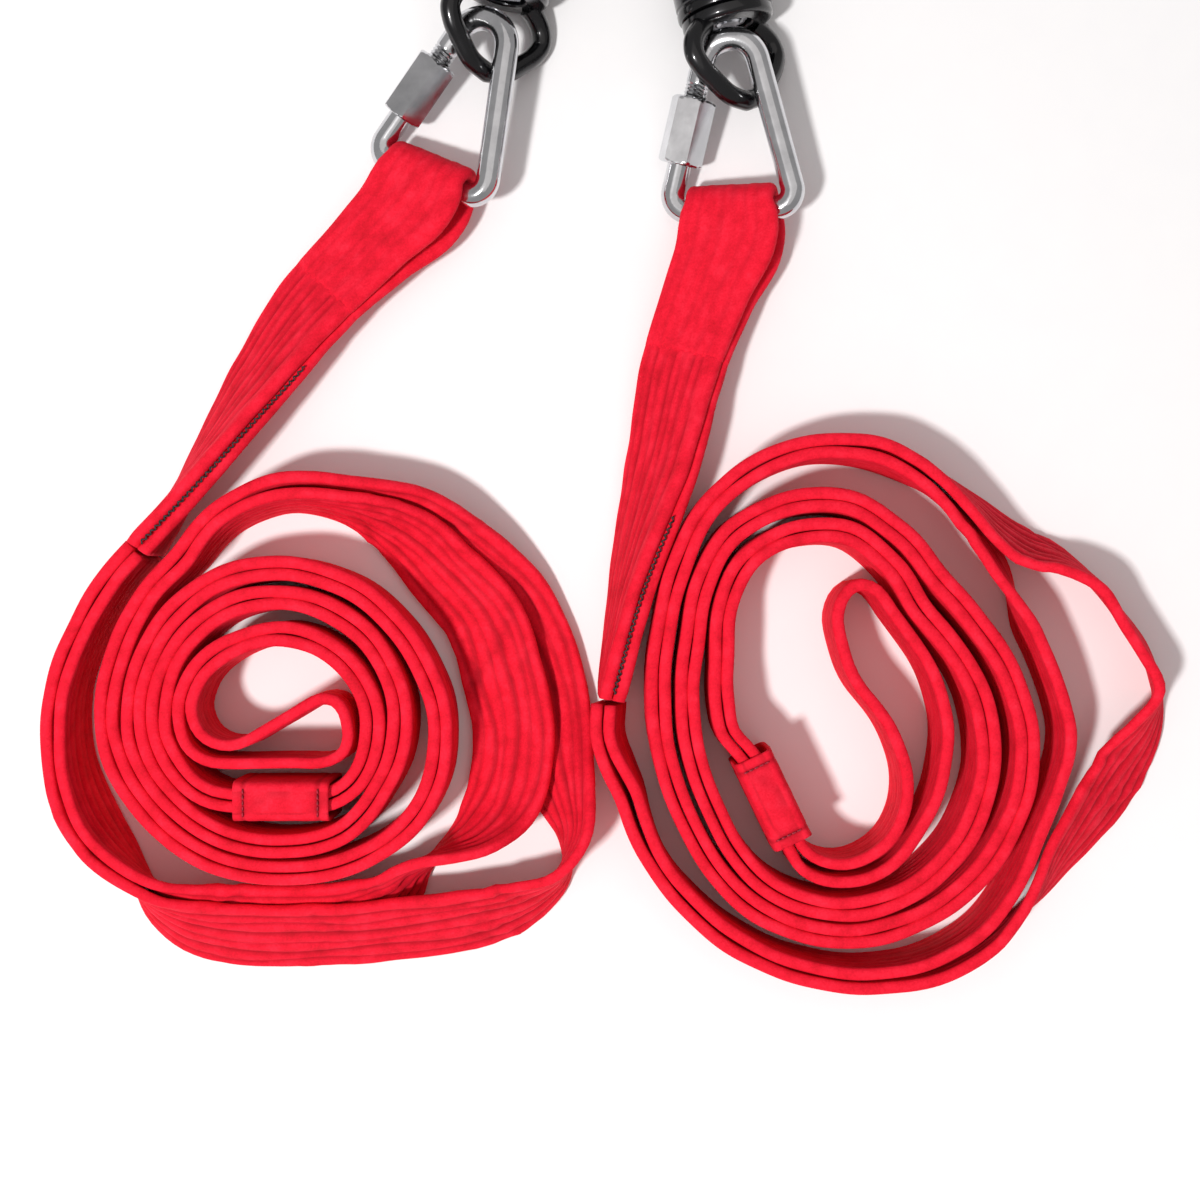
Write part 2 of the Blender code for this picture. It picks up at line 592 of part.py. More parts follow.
def build_swivel(strap):
    frame, name = swivel_frame(strap), strap["name"]
    rolled = frame @ Matrix.Rotation(math.radians(SWIVEL_ROLL), 4, "Y")
    mirror = Matrix.Diagonal((1, -1, 1, 1))
    swivel_eye(f"{name}_swivel_lower_eye", rolled @ mirror)
    swivel_eye(f"{name}_swivel_upper_eye", frame)
    turned(f"{name}_swivel_barrel", "black_alloy",
           ((BARREL_BORE_R, -BARREL_HALF), (BARREL_R - 0.8, -BARREL_HALF),
            (BARREL_R, -BARREL_HALF + 0.8), (BARREL_R, BARREL_HALF - 0.8),
            (BARREL_R - 0.8, BARREL_HALF), (BARREL_BORE_R, BARREL_HALF)), frame, 32)
    turned(f"{name}_swivel_bearing", "plain_steel",
           ((5.9, -4.0), (14.4, -4.0), (14.4, -1.6), (12.6, 0.0), (14.4, 1.6),
            (14.4, 4.0), (5.9, 4.0)), frame)
    turned(f"{name}_swivel_axle", "plain_steel",
           ((0.001, -17.8), (AXLE_R - 0.6, -17.8), (AXLE_R, -17.2), (AXLE_R, 10.9),
            (8.6, 10.9), (8.6, 14.9), (7.8, 15.8), (0.001, 15.8)), frame, 16)
    verts, faces = revolve("nut", "plain_steel",
                           ((AXLE_BORE_R, -16.8), (8.8, -16.8), (8.8, -10.9),
                            (AXLE_BORE_R, -10.9)), 6)
    nut = np.array(verts)
    bore = np.hypot(nut[:, 0], nut[:, 2]) < 7
    nut[bore] *= (6.1 / AXLE_BORE_R, 1, 6.1 / AXLE_BORE_R)
    add_object(f"{name}_swivel_lock_nut", "plain_steel", place(nut, rolled), faces)


def main():
    for obj in list(bpy.data.objects):
        bpy.data.objects.remove(obj)
    for strap in STRAPS:
        build_band(strap)
        build_eye(strap)
        build_splice_thread(strap)
        build_keeper(strap)
        build_link(strap)
        build_swivel(strap)


main()
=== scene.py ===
"""Pair of velour-covered webbing hand straps, each with a quick link and a swivel."""

import logging
import math
from dataclasses import dataclass, field
from enum import Enum
from typing import Any, Callable, Sequence

import bmesh
import bpy
import numpy as np
from mathutils import Matrix, Vector


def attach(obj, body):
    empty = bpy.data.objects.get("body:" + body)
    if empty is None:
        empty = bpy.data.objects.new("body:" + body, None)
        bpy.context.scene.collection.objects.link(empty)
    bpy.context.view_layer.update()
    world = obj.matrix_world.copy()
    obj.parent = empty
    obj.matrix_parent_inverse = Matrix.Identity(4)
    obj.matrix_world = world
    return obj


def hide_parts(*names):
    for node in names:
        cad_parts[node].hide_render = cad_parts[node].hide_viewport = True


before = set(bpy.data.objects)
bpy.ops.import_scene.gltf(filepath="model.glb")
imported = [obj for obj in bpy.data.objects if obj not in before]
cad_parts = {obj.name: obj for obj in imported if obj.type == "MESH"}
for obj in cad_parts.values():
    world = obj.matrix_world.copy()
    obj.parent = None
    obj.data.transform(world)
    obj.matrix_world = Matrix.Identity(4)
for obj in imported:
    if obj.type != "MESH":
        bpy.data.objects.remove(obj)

LOG = logging.getLogger("straps")
MM = 0.001
WAVE_SCALE = 1000 / 6.28                   # wave texture scale that gives waves of 1 mm
SHIFT = np.array([-5.16, -79.97, -0.28])    # sheet centre to the frame's origin, mm

Array = np.ndarray
Station = tuple[float, ...]
Faces = list[tuple[int, ...]]


class Side(Enum):
    """Which of the two straps."""

    LEFT = "left"
    RIGHT = "right"


# ---- small mathematics ---------------------------------------------------------
def linear(hex_colour: str) -> tuple[float, float, float, float]:
    """Turn an sRGB hex colour into linear RGBA.

    Args:
        hex_colour: Six hex digits, with or without a leading hash.

    Returns:
        Linear red, green and blue, and an alpha of 1.
    """
    digits = hex_colour.lstrip("#")
    parts = [int(digits[i:i + 2], 16) / 255 for i in (0, 2, 4)]
    red, green, blue = (c / 12.92 if c <= 0.04045 else ((c + 0.055) / 1.055) ** 2.4
                        for c in parts)
    return red, green, blue, 1.0


def hermite(knots: Array, values: Array, at: Array) -> Array:
    """Read a smooth curve through values at knots.

    Cubic Hermite pieces whose end slopes are the central differences.

    Args:
        knots: Increasing parameter values.
        values: One row per knot.
        at: Parameters to read.

    Returns:
        One row per parameter.
    """
    knots, values, at = (np.asarray(v, float) for v in (knots, values, at))
    slope = np.gradient(values, knots, axis=0)
    i = np.clip(np.searchsorted(knots, at, "right") - 1, 0, len(knots) - 2)
    span = (knots[i + 1] - knots[i])[:, None]
    u = ((at - knots[i])[:, None]) / span
    return ((2 * u**3 - 3 * u**2 + 1) * values[i] + (u**3 - 2 * u**2 + u) * span * slope[i]
            + (3 * u**2 - 2 * u**3) * values[i + 1] + (u**3 - u**2) * span * slope[i + 1])


def chord_knots(points: Array) -> Array:
    """Return distances along a chain of points, in plan."""
    return np.concatenate([[0.0], np.cumsum(np.linalg.norm(np.diff(points[:, :2], axis=0), axis=1))])


def resample(points: Array, spacing: float) -> Array:
    """Space the rows of a chain evenly along a smooth curve through them.

    Args:
        points: Rows whose first two columns are x and y.
        spacing: Distance between the new rows.

    Returns:
        The new rows.
    """
    points = np.asarray(points, float)
    knots = chord_knots(points)
    count = max(2, int(round(knots[-1] / spacing)) + 1)
    return hermite(knots, points, np.linspace(0, knots[-1], count))


def normals_2d(points: Array) -> Array:
    """Return unit normals to the right of travel, in plan."""
    run = np.gradient(points[:, :2], axis=0)
    run /= np.linalg.norm(run, axis=1)[:, None]
    return np.stack([run[:, 1], -run[:, 0]], axis=1)


def frames(points: Array, width_dirs: Array) -> tuple[Array, Array]:
    """Square width directions to a chain's run.

    Args:
        points: Places along the chain.
        width_dirs: Rough width direction at each.

    Returns:
        Width and thickness directions, square to the run and to each other.
    """
    run = np.gradient(points, axis=0)
    run /= np.linalg.norm(run, axis=1)[:, None]
    thick = np.cross(run, width_dirs)
    thick /= np.linalg.norm(thick, axis=1)[:, None]
    return np.cross(thick, run), thick


def leaning(stations: Array) -> tuple[Array, Array]:
    """Split stations of x, y, height and lean into points and width directions.

    The width direction is straight up, tipped by the lean towards the left of travel.

    Args:
        stations: One row per station, lean in degrees.

    Returns:
        Points and width directions.
    """
    side = np.column_stack([normals_2d(stations), np.zeros(len(stations))])
    tilt = np.radians(stations[:, 3])[:, None]
    return stations[:, :3], np.cos(tilt) * np.array([0, 0, 1.0]) - np.sin(tilt) * side


def ripple(distance: Array, across: Array, lengths: Sequence[float], slant: float,
           seed: int) -> Array:
    """Sum a few sines along a band, each with its own phase, for soft wrinkles.

    Each term is sin(2 pi (distance + slant * across) / length + phase), and the sum is
    scaled to about one.

    Args:
        distance: Distance along the band.
        across: Distance across it.
        lengths: Wavelengths in millimetres.
        slant: How far a wrinkle runs along for each millimetre across.
        seed: Picks the phases.

    Returns:
        Values of about minus one to one.
    """
    phases = np.random.default_rng(seed).uniform(0, 2 * math.pi, len(lengths))
    total = sum(np.sin(2 * math.pi * (distance + slant * across) / length + phase)
                for length, phase in zip(lengths, phases))
    return total / math.sqrt(len(lengths))


# ---- meshes --------------------------------------------------------------------
def ring_faces(rings: int, count: int, start: int = 0) -> Faces:
    """Return quads between successive closed rings.

    Args:
        rings: Number of rings.
        count: Points in each.
        start: Index of the first point.

    Returns:
        The quads.
    """
    i, j = np.meshgrid(np.arange(rings - 1), np.arange(count), indexing="ij")
    k = (j + 1) % count
    quads = np.stack([i * count + j, i * count + k, (i + 1) * count + k, (i + 1) * count + j], -1)
    return [tuple(q) for q in (quads.reshape(-1, 4) + start).tolist()]


def capped_sweep(rings: Array) -> tuple[Array, Faces]:
    """Close a stack of rings with a face at each end.

    Args:
        rings: Array of rings, points and xyz.

    Returns:
        Points and faces.
    """
    n, m = rings.shape[:2]
    ends = [tuple(range(m)), tuple((n - 1) * m + j for j in reversed(range(m)))]
    return rings.reshape(-1, 3), ring_faces(n, m) + ends


def hollow_sweep(outer: Array, inner: Array) -> tuple[Array, Faces]:
    """Join an outer and an inner stack of rings into one open-ended tube wall.

    Args:
        outer: Outer rings.
        inner: Inner rings with as many points in each.

    Returns:
        Points and faces.
    """
    n, m = outer.shape[:2]
    faces = ring_faces(n, m) + [f[::-1] for f in ring_faces(n, m, n * m)]
    for ring in (0, n - 1):
        a = ring * m + np.arange(m)
        b = ring * m + (np.arange(m) + 1) % m
        quads = np.stack([a, b, b + n * m, a + n * m], 1)
        faces += [tuple(q) for q in (quads if ring else quads[:, ::-1]).tolist()]
    return np.concatenate([outer.reshape(-1, 3), inner.reshape(-1, 3)]), faces


def merge(parts: Sequence[tuple[Array, Faces]]) -> tuple[Array, Faces]:
    """Put several closed shells into one list of points and faces."""
    verts, faces, start = [], [], 0
    for points, quads in parts:
        verts.append(points)
        faces += [tuple(i + start for i in f) for f in quads]
        start += len(points)
    return np.concatenate(verts), faces


def make_piece(name: str, shape: tuple[Array, Faces], smooth: float = 180.0,
               fold_shade: Array | None = None) -> bpy.types.Object:
    """Make one mesh object from points in sheet millimetres.

    Args:
        name: The piece's name.
        shape: Points and faces.
        smooth: Edges sharper than this many degrees stay sharp.
        fold_shade: Painted shade for each of the first points, 0 to 1, darker the deeper the point lies in
            a fold.

    Returns:
        The object, at the origin, with its faces outwards.
    """
    verts, faces = shape
    mesh = bpy.data.meshes.new(name)
    mesh.from_pydata(((verts + SHIFT) * MM).tolist(), [], faces)
    bm = bmesh.new()
    bm.from_mesh(mesh)
    bmesh.ops.recalc_face_normals(bm, faces=bm.faces)
    bm.to_mesh(mesh)
    bm.free()
    mesh.polygons.foreach_set("use_smooth", np.ones(len(mesh.polygons), bool))
    # store each point's painted shade for the velour to darken by
    if fold_shade is not None:
        depths = np.zeros(len(mesh.vertices))
        depths[:fold_shade.size] = np.clip(fold_shade, 0, 1).ravel()
        mesh.attributes.new("fold_shade", "FLOAT", "POINT").data.foreach_set("value", depths)
    if smooth < 180:
        mesh.set_sharp_from_angle(angle=math.radians(smooth))
    obj = bpy.data.objects.new(name, mesh)
    bpy.context.collection.objects.link(obj)
    return obj


def stadium(width: float, thick: float, along: int, around: int,
            crown: float = 1.0) -> tuple[Array, Array]:
    """Work out a flat section with round edges.

    Two straight sides joined by half ellipses, half the thickness high and that times the
    crown deep.

    Args:
        width: Full width.
        thick: Full thickness.
        along: Points on each straight side.
        around: Points on each rounded edge.
        crown: Depth of the round edge over its half height; 1 gives half circles.

    Returns:
        Offsets along the width and along the thickness.
    """
    r = thick / 2
    reach = width / 2 - r * crown
    side = np.linspace(-reach, reach, along)
    arc = np.linspace(math.pi / 2, -math.pi / 2, around + 2)[1:-1]
    edge = r * crown * np.cos(arc)
    w = np.concatenate([side, reach + edge, side[::-1], -reach - edge])
    t = np.concatenate([np.full(along, r), r * np.sin(arc), np.full(along, -r), -r * np.sin(arc)])
    return w, t


def circle(radius: float, count: int = 8) -> tuple[Array, Array]:
    """Return a round section's offsets along the width and along the thickness."""
    turn = np.arange(count) * 2 * math.pi / count
    return radius * np.cos(turn), radius * np.sin(turn)


def lay(points: Array, wide: Array, thick: Array, w: Array, t: Array) -> Array:
    """Carry a section along points.

    Each point of a ring is the station plus w times its width direction plus t times its
    thickness direction.

    Args:
        points: Stations.
        wide: Width directions.
        thick: Thickness directions.
        w: Width offsets, per ring point or per station and ring point.
        t: Thickness offsets, likewise.

    Returns:
        Rings of points.
    """
    shape = (len(points), np.shape(w)[-1])
    w, t = np.broadcast_to(w, shape), np.broadcast_to(t, shape)
    return points[:, None] + w[..., None] * wide[:, None] + t[..., None] * thick[:, None]


def round_bar(path: Array, radius: Callable[[Array, Array], Array],
              sides: int = 28) -> tuple[Array, Faces]:
    """Carry a circle along a flat path in the local XY plane.

    Args:
        path: Points of x and y.
        radius: Gives the radius from distance along and angle around.
        sides: Points in each ring.

    Returns:
        Points and faces.
    """
    side = np.column_stack([normals_2d(path), np.zeros(len(path))])
    turn = np.arange(sides) * 2 * math.pi / sides
    r = radius(chord_knots(path)[:, None], turn[None])
    centre = np.column_stack([path, np.zeros(len(path))])
    rings = (centre[:, None] + (r * np.cos(turn))[..., None] * side[:, None]
             + (r * np.sin(turn))[..., None] * np.array([0, 0, 1.0]))
    return capped_sweep(rings)


def turned(profile: Sequence[tuple[float, float]], sides: int = 72) -> tuple[Array, Faces]:
    """Turn a closed profile about the local Y axis.

    Args:
        profile: Corners of radius and place along Y.
        sides: Steps round the axis.

    Returns:
        Points and faces.
    """
    p = np.array(profile)
    a = (np.arange(sides) * 2 * math.pi / sides)[:, None]
    rings = np.stack([p[:, 0] * np.cos(a), np.broadcast_to(p[:, 1], (sides, len(p))),
                      p[:, 0] * np.sin(a)], -1)
    faces = ring_faces(sides + 1, len(p))
    return rings.reshape(-1, 3), [tuple(i % (sides * len(p)) for i in f) for f in faces]


def placed(shape: tuple[Array, Faces], matrix: Matrix) -> tuple[Array, Faces]:
    """Move a shape's points by a matrix in sheet millimetres."""
    m = np.array(matrix)
    return shape[0] @ m[:3, :3].T + m[:3, 3], shape[1]


# ---- materials -------------------------------------------------------------------
def add_node(tree: bpy.types.NodeTree, kind: str, settings: dict[str, Any] | None = None,
             inputs: dict[str, Any] | None = None) -> bpy.types.Node:
    """Add a node with its settings, its values and its links.

    Args:
        tree: The material's node tree.
        kind: Blender's name of the node type.
        settings: Attributes of the node.
        inputs: Input name to a value, or to an output socket to link from.

    Returns:
        The node.
    """
    node = tree.nodes.new(kind)
    for key, value in (settings or {}).items():
        setattr(node, key, value)
    for key, value in (inputs or {}).items():
        socket = node.inputs[key]
        if isinstance(value, bpy.types.NodeSocket):
            tree.links.new(value, socket)
        else:
            socket.default_value = value
    return node


def blank(name: str) -> tuple[bpy.types.Material, bpy.types.NodeTree, bpy.types.Node, Any]:
    """Start a material.

    Args:
        name: The material's name.

    Returns:
        The material, its tree, its shader and the Object coordinate socket.
    """
    material = bpy.data.materials.new(name)
    material.use_nodes = True
    tree = material.node_tree
    place = add_node(tree, "ShaderNodeTexCoord").outputs["Object"]
    return material, tree, tree.nodes["Principled BSDF"], place


def colour_ramp(tree: bpy.types.NodeTree, amount: bpy.types.NodeSocket,
                *stops: tuple[float, str]) -> bpy.types.NodeSocket:
    """Colour a value by a ramp.

    Args:
        tree: The material's node tree.
        amount: The value, 0 to 1.
        stops: Places and hex colours, from first to last.

    Returns:
        The colour's socket.
    """
    ramp = add_node(tree, "ShaderNodeValToRGB", None, {"Fac": amount})
    elements = ramp.color_ramp.elements
    for element, (place, colour) in ((elements[0], stops[0]), (elements[1], stops[-1])):
        element.position, element.color = place, linear(colour)
    for place, colour in stops[1:-1]:
        elements.new(place).color = linear(colour)
    return ramp.outputs["Color"]


def relief(tree: bpy.types.NodeTree, height: bpy.types.NodeSocket, strength: float,
           distance: float, under: bpy.types.NodeSocket | None = None) -> bpy.types.NodeSocket:
    """Turn a value into surface relief.

    Args:
        tree: The material's node tree.
        height: The value.
        strength: How much of the relief shows.
        distance: Its depth in metres.
        under: A coarser relief's normal to add to.

    Returns:
        The normal's socket.
    """
    inputs = {"Strength": strength, "Distance": distance, "Height": height}
    if under:
        inputs["Normal"] = under
    return add_node(tree, "ShaderNodeBump", None, inputs).outputs["Normal"]


@dataclass(frozen=True)
class Velour:
    """Cut-pile polyester velour: short soft pile that glows at grazing angles."""

    name: str = "red_velour"
    deep: str = "#c4081f"
    fair: str = "#e8122f"
    crest: str = "#fa2a44"
    # painted shade: dark red for the bottoms of pleats, gathers and folds
    fold: str = "#8a0012"
    sheen: str = "#ff3c55"
    pile_mm: float = 0.9        # tufts are drawn coarser than the real 0.3 mm, to show
    nap_mm: float = 9.0

    def build(self) -> bpy.types.Material:
        """Return the material: nap patches of two reds, fine pile bump, a pink sheen and a dark red painted
        in as shade in folds and pleats.
        """
        material, tree, shader, place = blank(self.name)
        nap = add_node(tree, "ShaderNodeTexNoise", None,
                       {"Vector": place, "Scale": 1000 / self.nap_mm, "Detail": 5.0, "Roughness": 0.62})
        pile = add_node(tree, "ShaderNodeTexNoise", None,
                        {"Vector": place, "Scale": 1000 / self.pile_mm, "Detail": 3.0, "Roughness": 0.7})
        both = add_node(tree, "ShaderNodeMix", {"data_type": "FLOAT"},
                        {"Factor": 0.38, "A": nap.outputs["Fac"], "B": pile.outputs["Fac"]})
        reds = colour_ramp(tree, both.outputs["Result"], (0.3, self.deep), (0.5, self.fair),
                           (0.72, self.crest))
        # painted shade: each point's fold depth mixes the reds towards the dark fold red
        depth = add_node(tree, "ShaderNodeAttribute", {"attribute_name": "fold_shade"})
        amount = add_node(tree, "ShaderNodeMath", {"operation": "MULTIPLY"}, None)
        tree.links.new(depth.outputs["Fac"], amount.inputs[0])
        amount.inputs[1].default_value = 0.75
        folded = add_node(tree, "ShaderNodeMixRGB", {"blend_type": "MIX"},
                          {"Fac": amount.outputs["Value"], "Color1": reds,
                           "Color2": linear(self.fold)})
        tree.links.new(folded.outputs["Color"], shader.inputs["Base Color"])
        crush = relief(tree, nap.outputs["Fac"], 0.22, 0.0008)
        tufts = relief(tree, pile.outputs["Fac"], 0.5, 0.00035, crush)
        tree.links.new(tufts, shader.inputs["Normal"])
        shader.inputs["Roughness"].default_value = 0.82
        shader.inputs["Specular IOR Level"].default_value = 0.2
        shader.inputs["Sheen Weight"].default_value = 0.25
        shader.inputs["Sheen Roughness"].default_value = 0.45
        shader.inputs["Sheen Tint"].default_value = linear(self.sheen)
        return material


@dataclass(frozen=True)
class Webbing:
    """Woven polyester webbing: a tight red ribbed weave, seen only inside the sleeves."""

    name: str = "woven_webbing"
    deep: str = "#8f0f22"
    fair: str = "#c02338"
    rib_mm: float = 1.4

    def build(self) -> bpy.types.Material:
        """Return the material: crossed ribs in colour and in bump."""
        material, tree, shader, place = blank(self.name)
        ribs = [add_node(tree, "ShaderNodeTexWave", {"bands_direction": way},
                         {"Vector": place, "Scale": WAVE_SCALE / self.rib_mm, "Distortion": 0.6})
                for way in ("X", "Y")]
        weave = add_node(tree, "ShaderNodeMath", {"operation": "MULTIPLY"}, None)
        for rib, socket in zip(ribs, weave.inputs):
            tree.links.new(rib.outputs["Fac"], socket)
        reds = colour_ramp(tree, weave.outputs["Value"], (0.0, self.deep), (1.0, self.fair))
        tree.links.new(reds, shader.inputs["Base Color"])
        tree.links.new(relief(tree, weave.outputs["Value"], 0.6, 0.0003), shader.inputs["Normal"])
        shader.inputs["Roughness"].default_value = 0.7
        return material


@dataclass(frozen=True)
class SewingThread:
    """Twisted polyester thread: fine slanting plies, dull with a slight glint."""

    name: str
    dark: str
    light: str
    ply_mm: float = 0.7

    def build(self) -> bpy.types.Material:
        """Return the material: slanting plies in colour and in bump."""
        material, tree, shader, place = blank(self.name)
        plies = add_node(tree, "ShaderNodeTexWave", {"bands_direction": "DIAGONAL"},
                         {"Vector": place, "Scale": WAVE_SCALE / self.ply_mm, "Distortion": 1.5,
                          "Detail": 2.0})
        shades = colour_ramp(tree, plies.outputs["Fac"], (0.0, self.dark), (1.0, self.light))
        tree.links.new(shades, shader.inputs["Base Color"])
        tree.links.new(relief(tree, plies.outputs["Fac"], 0.7, 0.0002), shader.inputs["Normal"])
        shader.inputs["Roughness"].default_value = 0.6
        return material


@dataclass(frozen=True)
class Metal:
    """A metal whose polish is broken by faint smears and fine scratches."""

    name: str
    base: str
    worn: str
    smooth: float
    rough: float
    metallic: float = 1.0
    coat: float = 0.0
    smear_mm: float = 14.0
    scratch_mm: float = 0.8

    def build(self) -> bpy.types.Material:
        """Return the material: smeared colour and roughness, stretched scratches in bump."""
        material, tree, shader, place = blank(self.name)
        smear = add_node(tree, "ShaderNodeTexNoise", None,
                         {"Vector": place, "Scale": 1000 / self.smear_mm, "Detail": 4.0, "Roughness": 0.6})
        colour = colour_ramp(tree, smear.outputs["Fac"], (0.35, self.base), (0.75, self.worn))
        tree.links.new(colour, shader.inputs["Base Color"])
        gloss = add_node(tree, "ShaderNodeMapRange", None,
                         {"Value": smear.outputs["Fac"], "From Min": 0.3, "From Max": 0.75,
                          "To Min": self.smooth, "To Max": self.rough})
        tree.links.new(gloss.outputs["Result"], shader.inputs["Roughness"])
        drawn = add_node(tree, "ShaderNodeMapping", None,
                         {"Vector": place, "Scale": (1.0, 0.08, 1.0), "Rotation": (0.0, 0.0, 0.35)})
        scratch = add_node(tree, "ShaderNodeTexNoise", None,
                           {"Vector": drawn.outputs["Vector"], "Scale": 1000 / self.scratch_mm,
                            "Detail": 3.0})
        tree.links.new(relief(tree, scratch.outputs["Fac"], 0.08, 0.0001), shader.inputs["Normal"])
        shader.inputs["Metallic"].default_value = self.metallic
        shader.inputs["Coat Weight"].default_value = self.coat
        shader.inputs["Coat Roughness"].default_value = 0.08
        return material


@dataclass(frozen=True)
class PaperSweep:
    """Matt white studio paper: an even pale floor with no gloss."""

    name: str = "white_studio_paper"
    fibre: str = "#f3f3f5"
    base: str = "#f6f6f7"

    def build(self) -> bpy.types.Material:
        """Return the material: near-white with a trace of fibre mottling."""
        material, tree, shader, place = blank(self.name)
        mottle = add_node(tree, "ShaderNodeTexNoise", None, {"Vector": place, "Scale": 60.0, "Detail": 3.0})
        whites = colour_ramp(tree, mottle.outputs["Fac"], (0.0, self.fibre), (1.0, self.base))
        tree.links.new(whites, shader.inputs["Base Color"])
        shader.inputs["Roughness"].default_value = 0.95
        return material


@dataclass
class Palette:
    """Every finish, built once."""

    velour: bpy.types.Material = field(default_factory=lambda: Velour().build())
    webbing: bpy.types.Material = field(default_factory=lambda: Webbing().build())
    black_thread: bpy.types.Material = field(
        default_factory=lambda: SewingThread("black_polyester_thread", "#0a0a0c", "#2b2b30").build())
    red_thread: bpy.types.Material = field(
        default_factory=lambda: SewingThread("red_polyester_thread", "#7d0a1d", "#b51d38").build())
    # polished stainless steel: near-white mirror with faint handling smears
    stainless: bpy.types.Material = field(
        default_factory=lambda: Metal("polished_stainless_steel", "#c6c7ca", "#e0e1e4", 0.1, 0.2).build())
    # gloss black anodised aluminium: deep black under a clear bright skin
    anodised: bpy.types.Material = field(
        default_factory=lambda: Metal("black_anodised_aluminium", "#0b0b0e", "#141418", 0.2, 0.34,
                                      0.55, 0.6).build())
    # zinc-plated steel: pale grey with a soft gleam
    plated: bpy.types.Material = field(
        default_factory=lambda: Metal("zinc_plated_steel", "#b9babe", "#d0d1d6", 0.28, 0.42).build())


# ---- where everything lies --------------------------------------------------------
HALF_WIDTH, HALF_THICK = 18.25, 2.25       # of the covered band
TABLE_GAP = 0.3
PAIR_STARTS = 480.0                        # angle at which the two legs come together


def key(angle: float, radius: float, lean: float = 0.0, height: float | None = None) -> Station:
    """Return one station of a leg; its height follows from how far it leans."""
    if height is None:
        tilt = math.radians(lean)
        height = TABLE_GAP + HALF_WIDTH * math.cos(tilt) + HALF_THICK * abs(math.sin(tilt))
    return angle, radius, height, lean


@dataclass(frozen=True)
class StrapRoute:
    """The route of one strap, in sheet millimetres."""

    side: Side
    centre: tuple[float, float]
    outer_turn: tuple[Station, ...]
    inner_turn: tuple[Station, ...]
    pair_radii: tuple[float, ...]
    to_keeper: tuple[tuple[float, float], ...]
    loop: tuple[tuple[float, float], ...]
    keeper_at: tuple[float, float]
    eye: tuple[Station, ...]
    stitch_from: float
    link_pitch: float
    swivel_tip: tuple[float, float]
    swivel_yaw: float
    loop_out: tuple[tuple[float, float], ...] = ()

    PITCH = 5.2             # between the middles of the two legs
    HEM_AT = 64.0           # from the link's bar to the sleeve's hem
    EYE_STACK = 5.4         # between the middles of the eye's two layers
    EYE_BEND = 7.9          # radius of the fold round the link's bar
    KEEPER_LIFT = 2.95      # how far the keeper lifts the legs it holds
    SWIVEL_HEIGHT = 20.4    # of the axle over the table

    def loose_turn(self, keys: tuple[Station, ...]) -> Array:
        """Return the loose first turn of one leg as rows of x, y, height and lean."""
        rows = np.array(keys)
        step = 7.5
        angles = np.append(np.arange(rows[0, 0], PAIR_STARTS - step / 2, step), PAIR_STARTS)
        radius, height, lean = hermite(rows[:, 0], rows[:, 1:], angles).T
        turn = np.radians(angles)
        return np.stack([self.centre[0] + radius * np.cos(turn),
                         self.centre[1] + radius * np.sin(turn), height, lean], axis=1)

    def pair_line(self) -> Array:
        """Return the middle of the two legs, second turn to hand loop."""
        radii = np.array(self.pair_radii)
        knots = PAIR_STARTS + 30.0 * np.arange(len(radii))
        angles = np.arange(PAIR_STARTS, knots[-1] + 1, 15)
        radius = hermite(knots, radii[:, None], angles)[:, 0]
        turn = np.radians(angles)
        coil = np.stack([self.centre[0] + radius * np.cos(turn),
                         self.centre[1] + radius * np.sin(turn)], axis=1)
        tail = resample(np.vstack([coil[-3:], np.array(self.to_keeper)]), 7.5)
        skip = np.searchsorted(chord_knots(tail), np.linalg.norm(coil[-1] - coil[-3]))
        return np.vstack([coil, tail[skip + 1:]])

    def band_stations(self) -> Array:
        """Return the band: in along the outer leg, round the loop, back along the inner."""
        pair = self.pair_line()
        side = normals_2d(pair) * self.PITCH / 2
        outer, inner = pair + side, pair - side
        bends = np.vstack([outer[-1:], np.array(self.loop_out + self.loop), inner[-1:]])
        loop = resample(bends, 6.0)[1:-1]
        flat = np.vstack([outer, loop, inner[::-1]])
        reach = np.hypot(*(flat - np.array(self.keeper_at)).T)
        height = TABLE_GAP + HALF_WIDTH + self.KEEPER_LIFT * np.clip(1.6 - reach / 45, 0, 1)
        flat = np.column_stack([flat, height, np.zeros(len(flat))])
        return np.vstack([self.loose_turn(self.outer_turn)[:-1], flat,
                          self.loose_turn(self.inner_turn)[-2::-1] * (1, 1, 1, -1)])

    def eye_line(self, spacing: float = 8.0) -> tuple[Array, Array, Array, Array]:
        """Return the sewn eye's middle line: points, width, thickness, distance."""
        points, wide = leaning(resample(np.array(self.eye), spacing))
        wide, thick = frames(points, wide)
        return points, wide, thick, chord_knots(points)

    def keeper_frame(self) -> Matrix:
        """Return where the keeper sits, with the legs running through it along X."""
        line = self.pair_line()
        i = int(np.argmin(np.hypot(*(line - np.array(self.keeper_at)).T)))
        run = line[i + 1] - line[i - 1]
        return (Matrix.Translation((*line[i], TABLE_GAP + Keeper.height / 2))
                @ Matrix.Rotation(math.atan2(run[1], run[0]), 4, "Z"))

    def link_frame(self) -> Matrix:
        """Return the quick link's place: bar along X, top bend towards +Y."""
        points, wide, thick, _ = self.eye_line()
        axes = Matrix((wide[0], np.cross(thick[0], wide[0]), thick[0])).transposed().to_4x4()
        return (Matrix.Translation(points[0]) @ axes
                @ Matrix.Rotation(math.radians(self.link_pitch), 4, "X"))

    def swivel_frame(self) -> Matrix:
        """Return the middle of the barrel, lower eye towards -Y."""
        return (Matrix.Translation((*self.swivel_tip, self.SWIVEL_HEIGHT))
                @ Matrix.Rotation(math.radians(self.swivel_yaw), 4, "Z")
                @ Matrix.Translation((0, Swivel.tip + Swivel.rod, 0)))


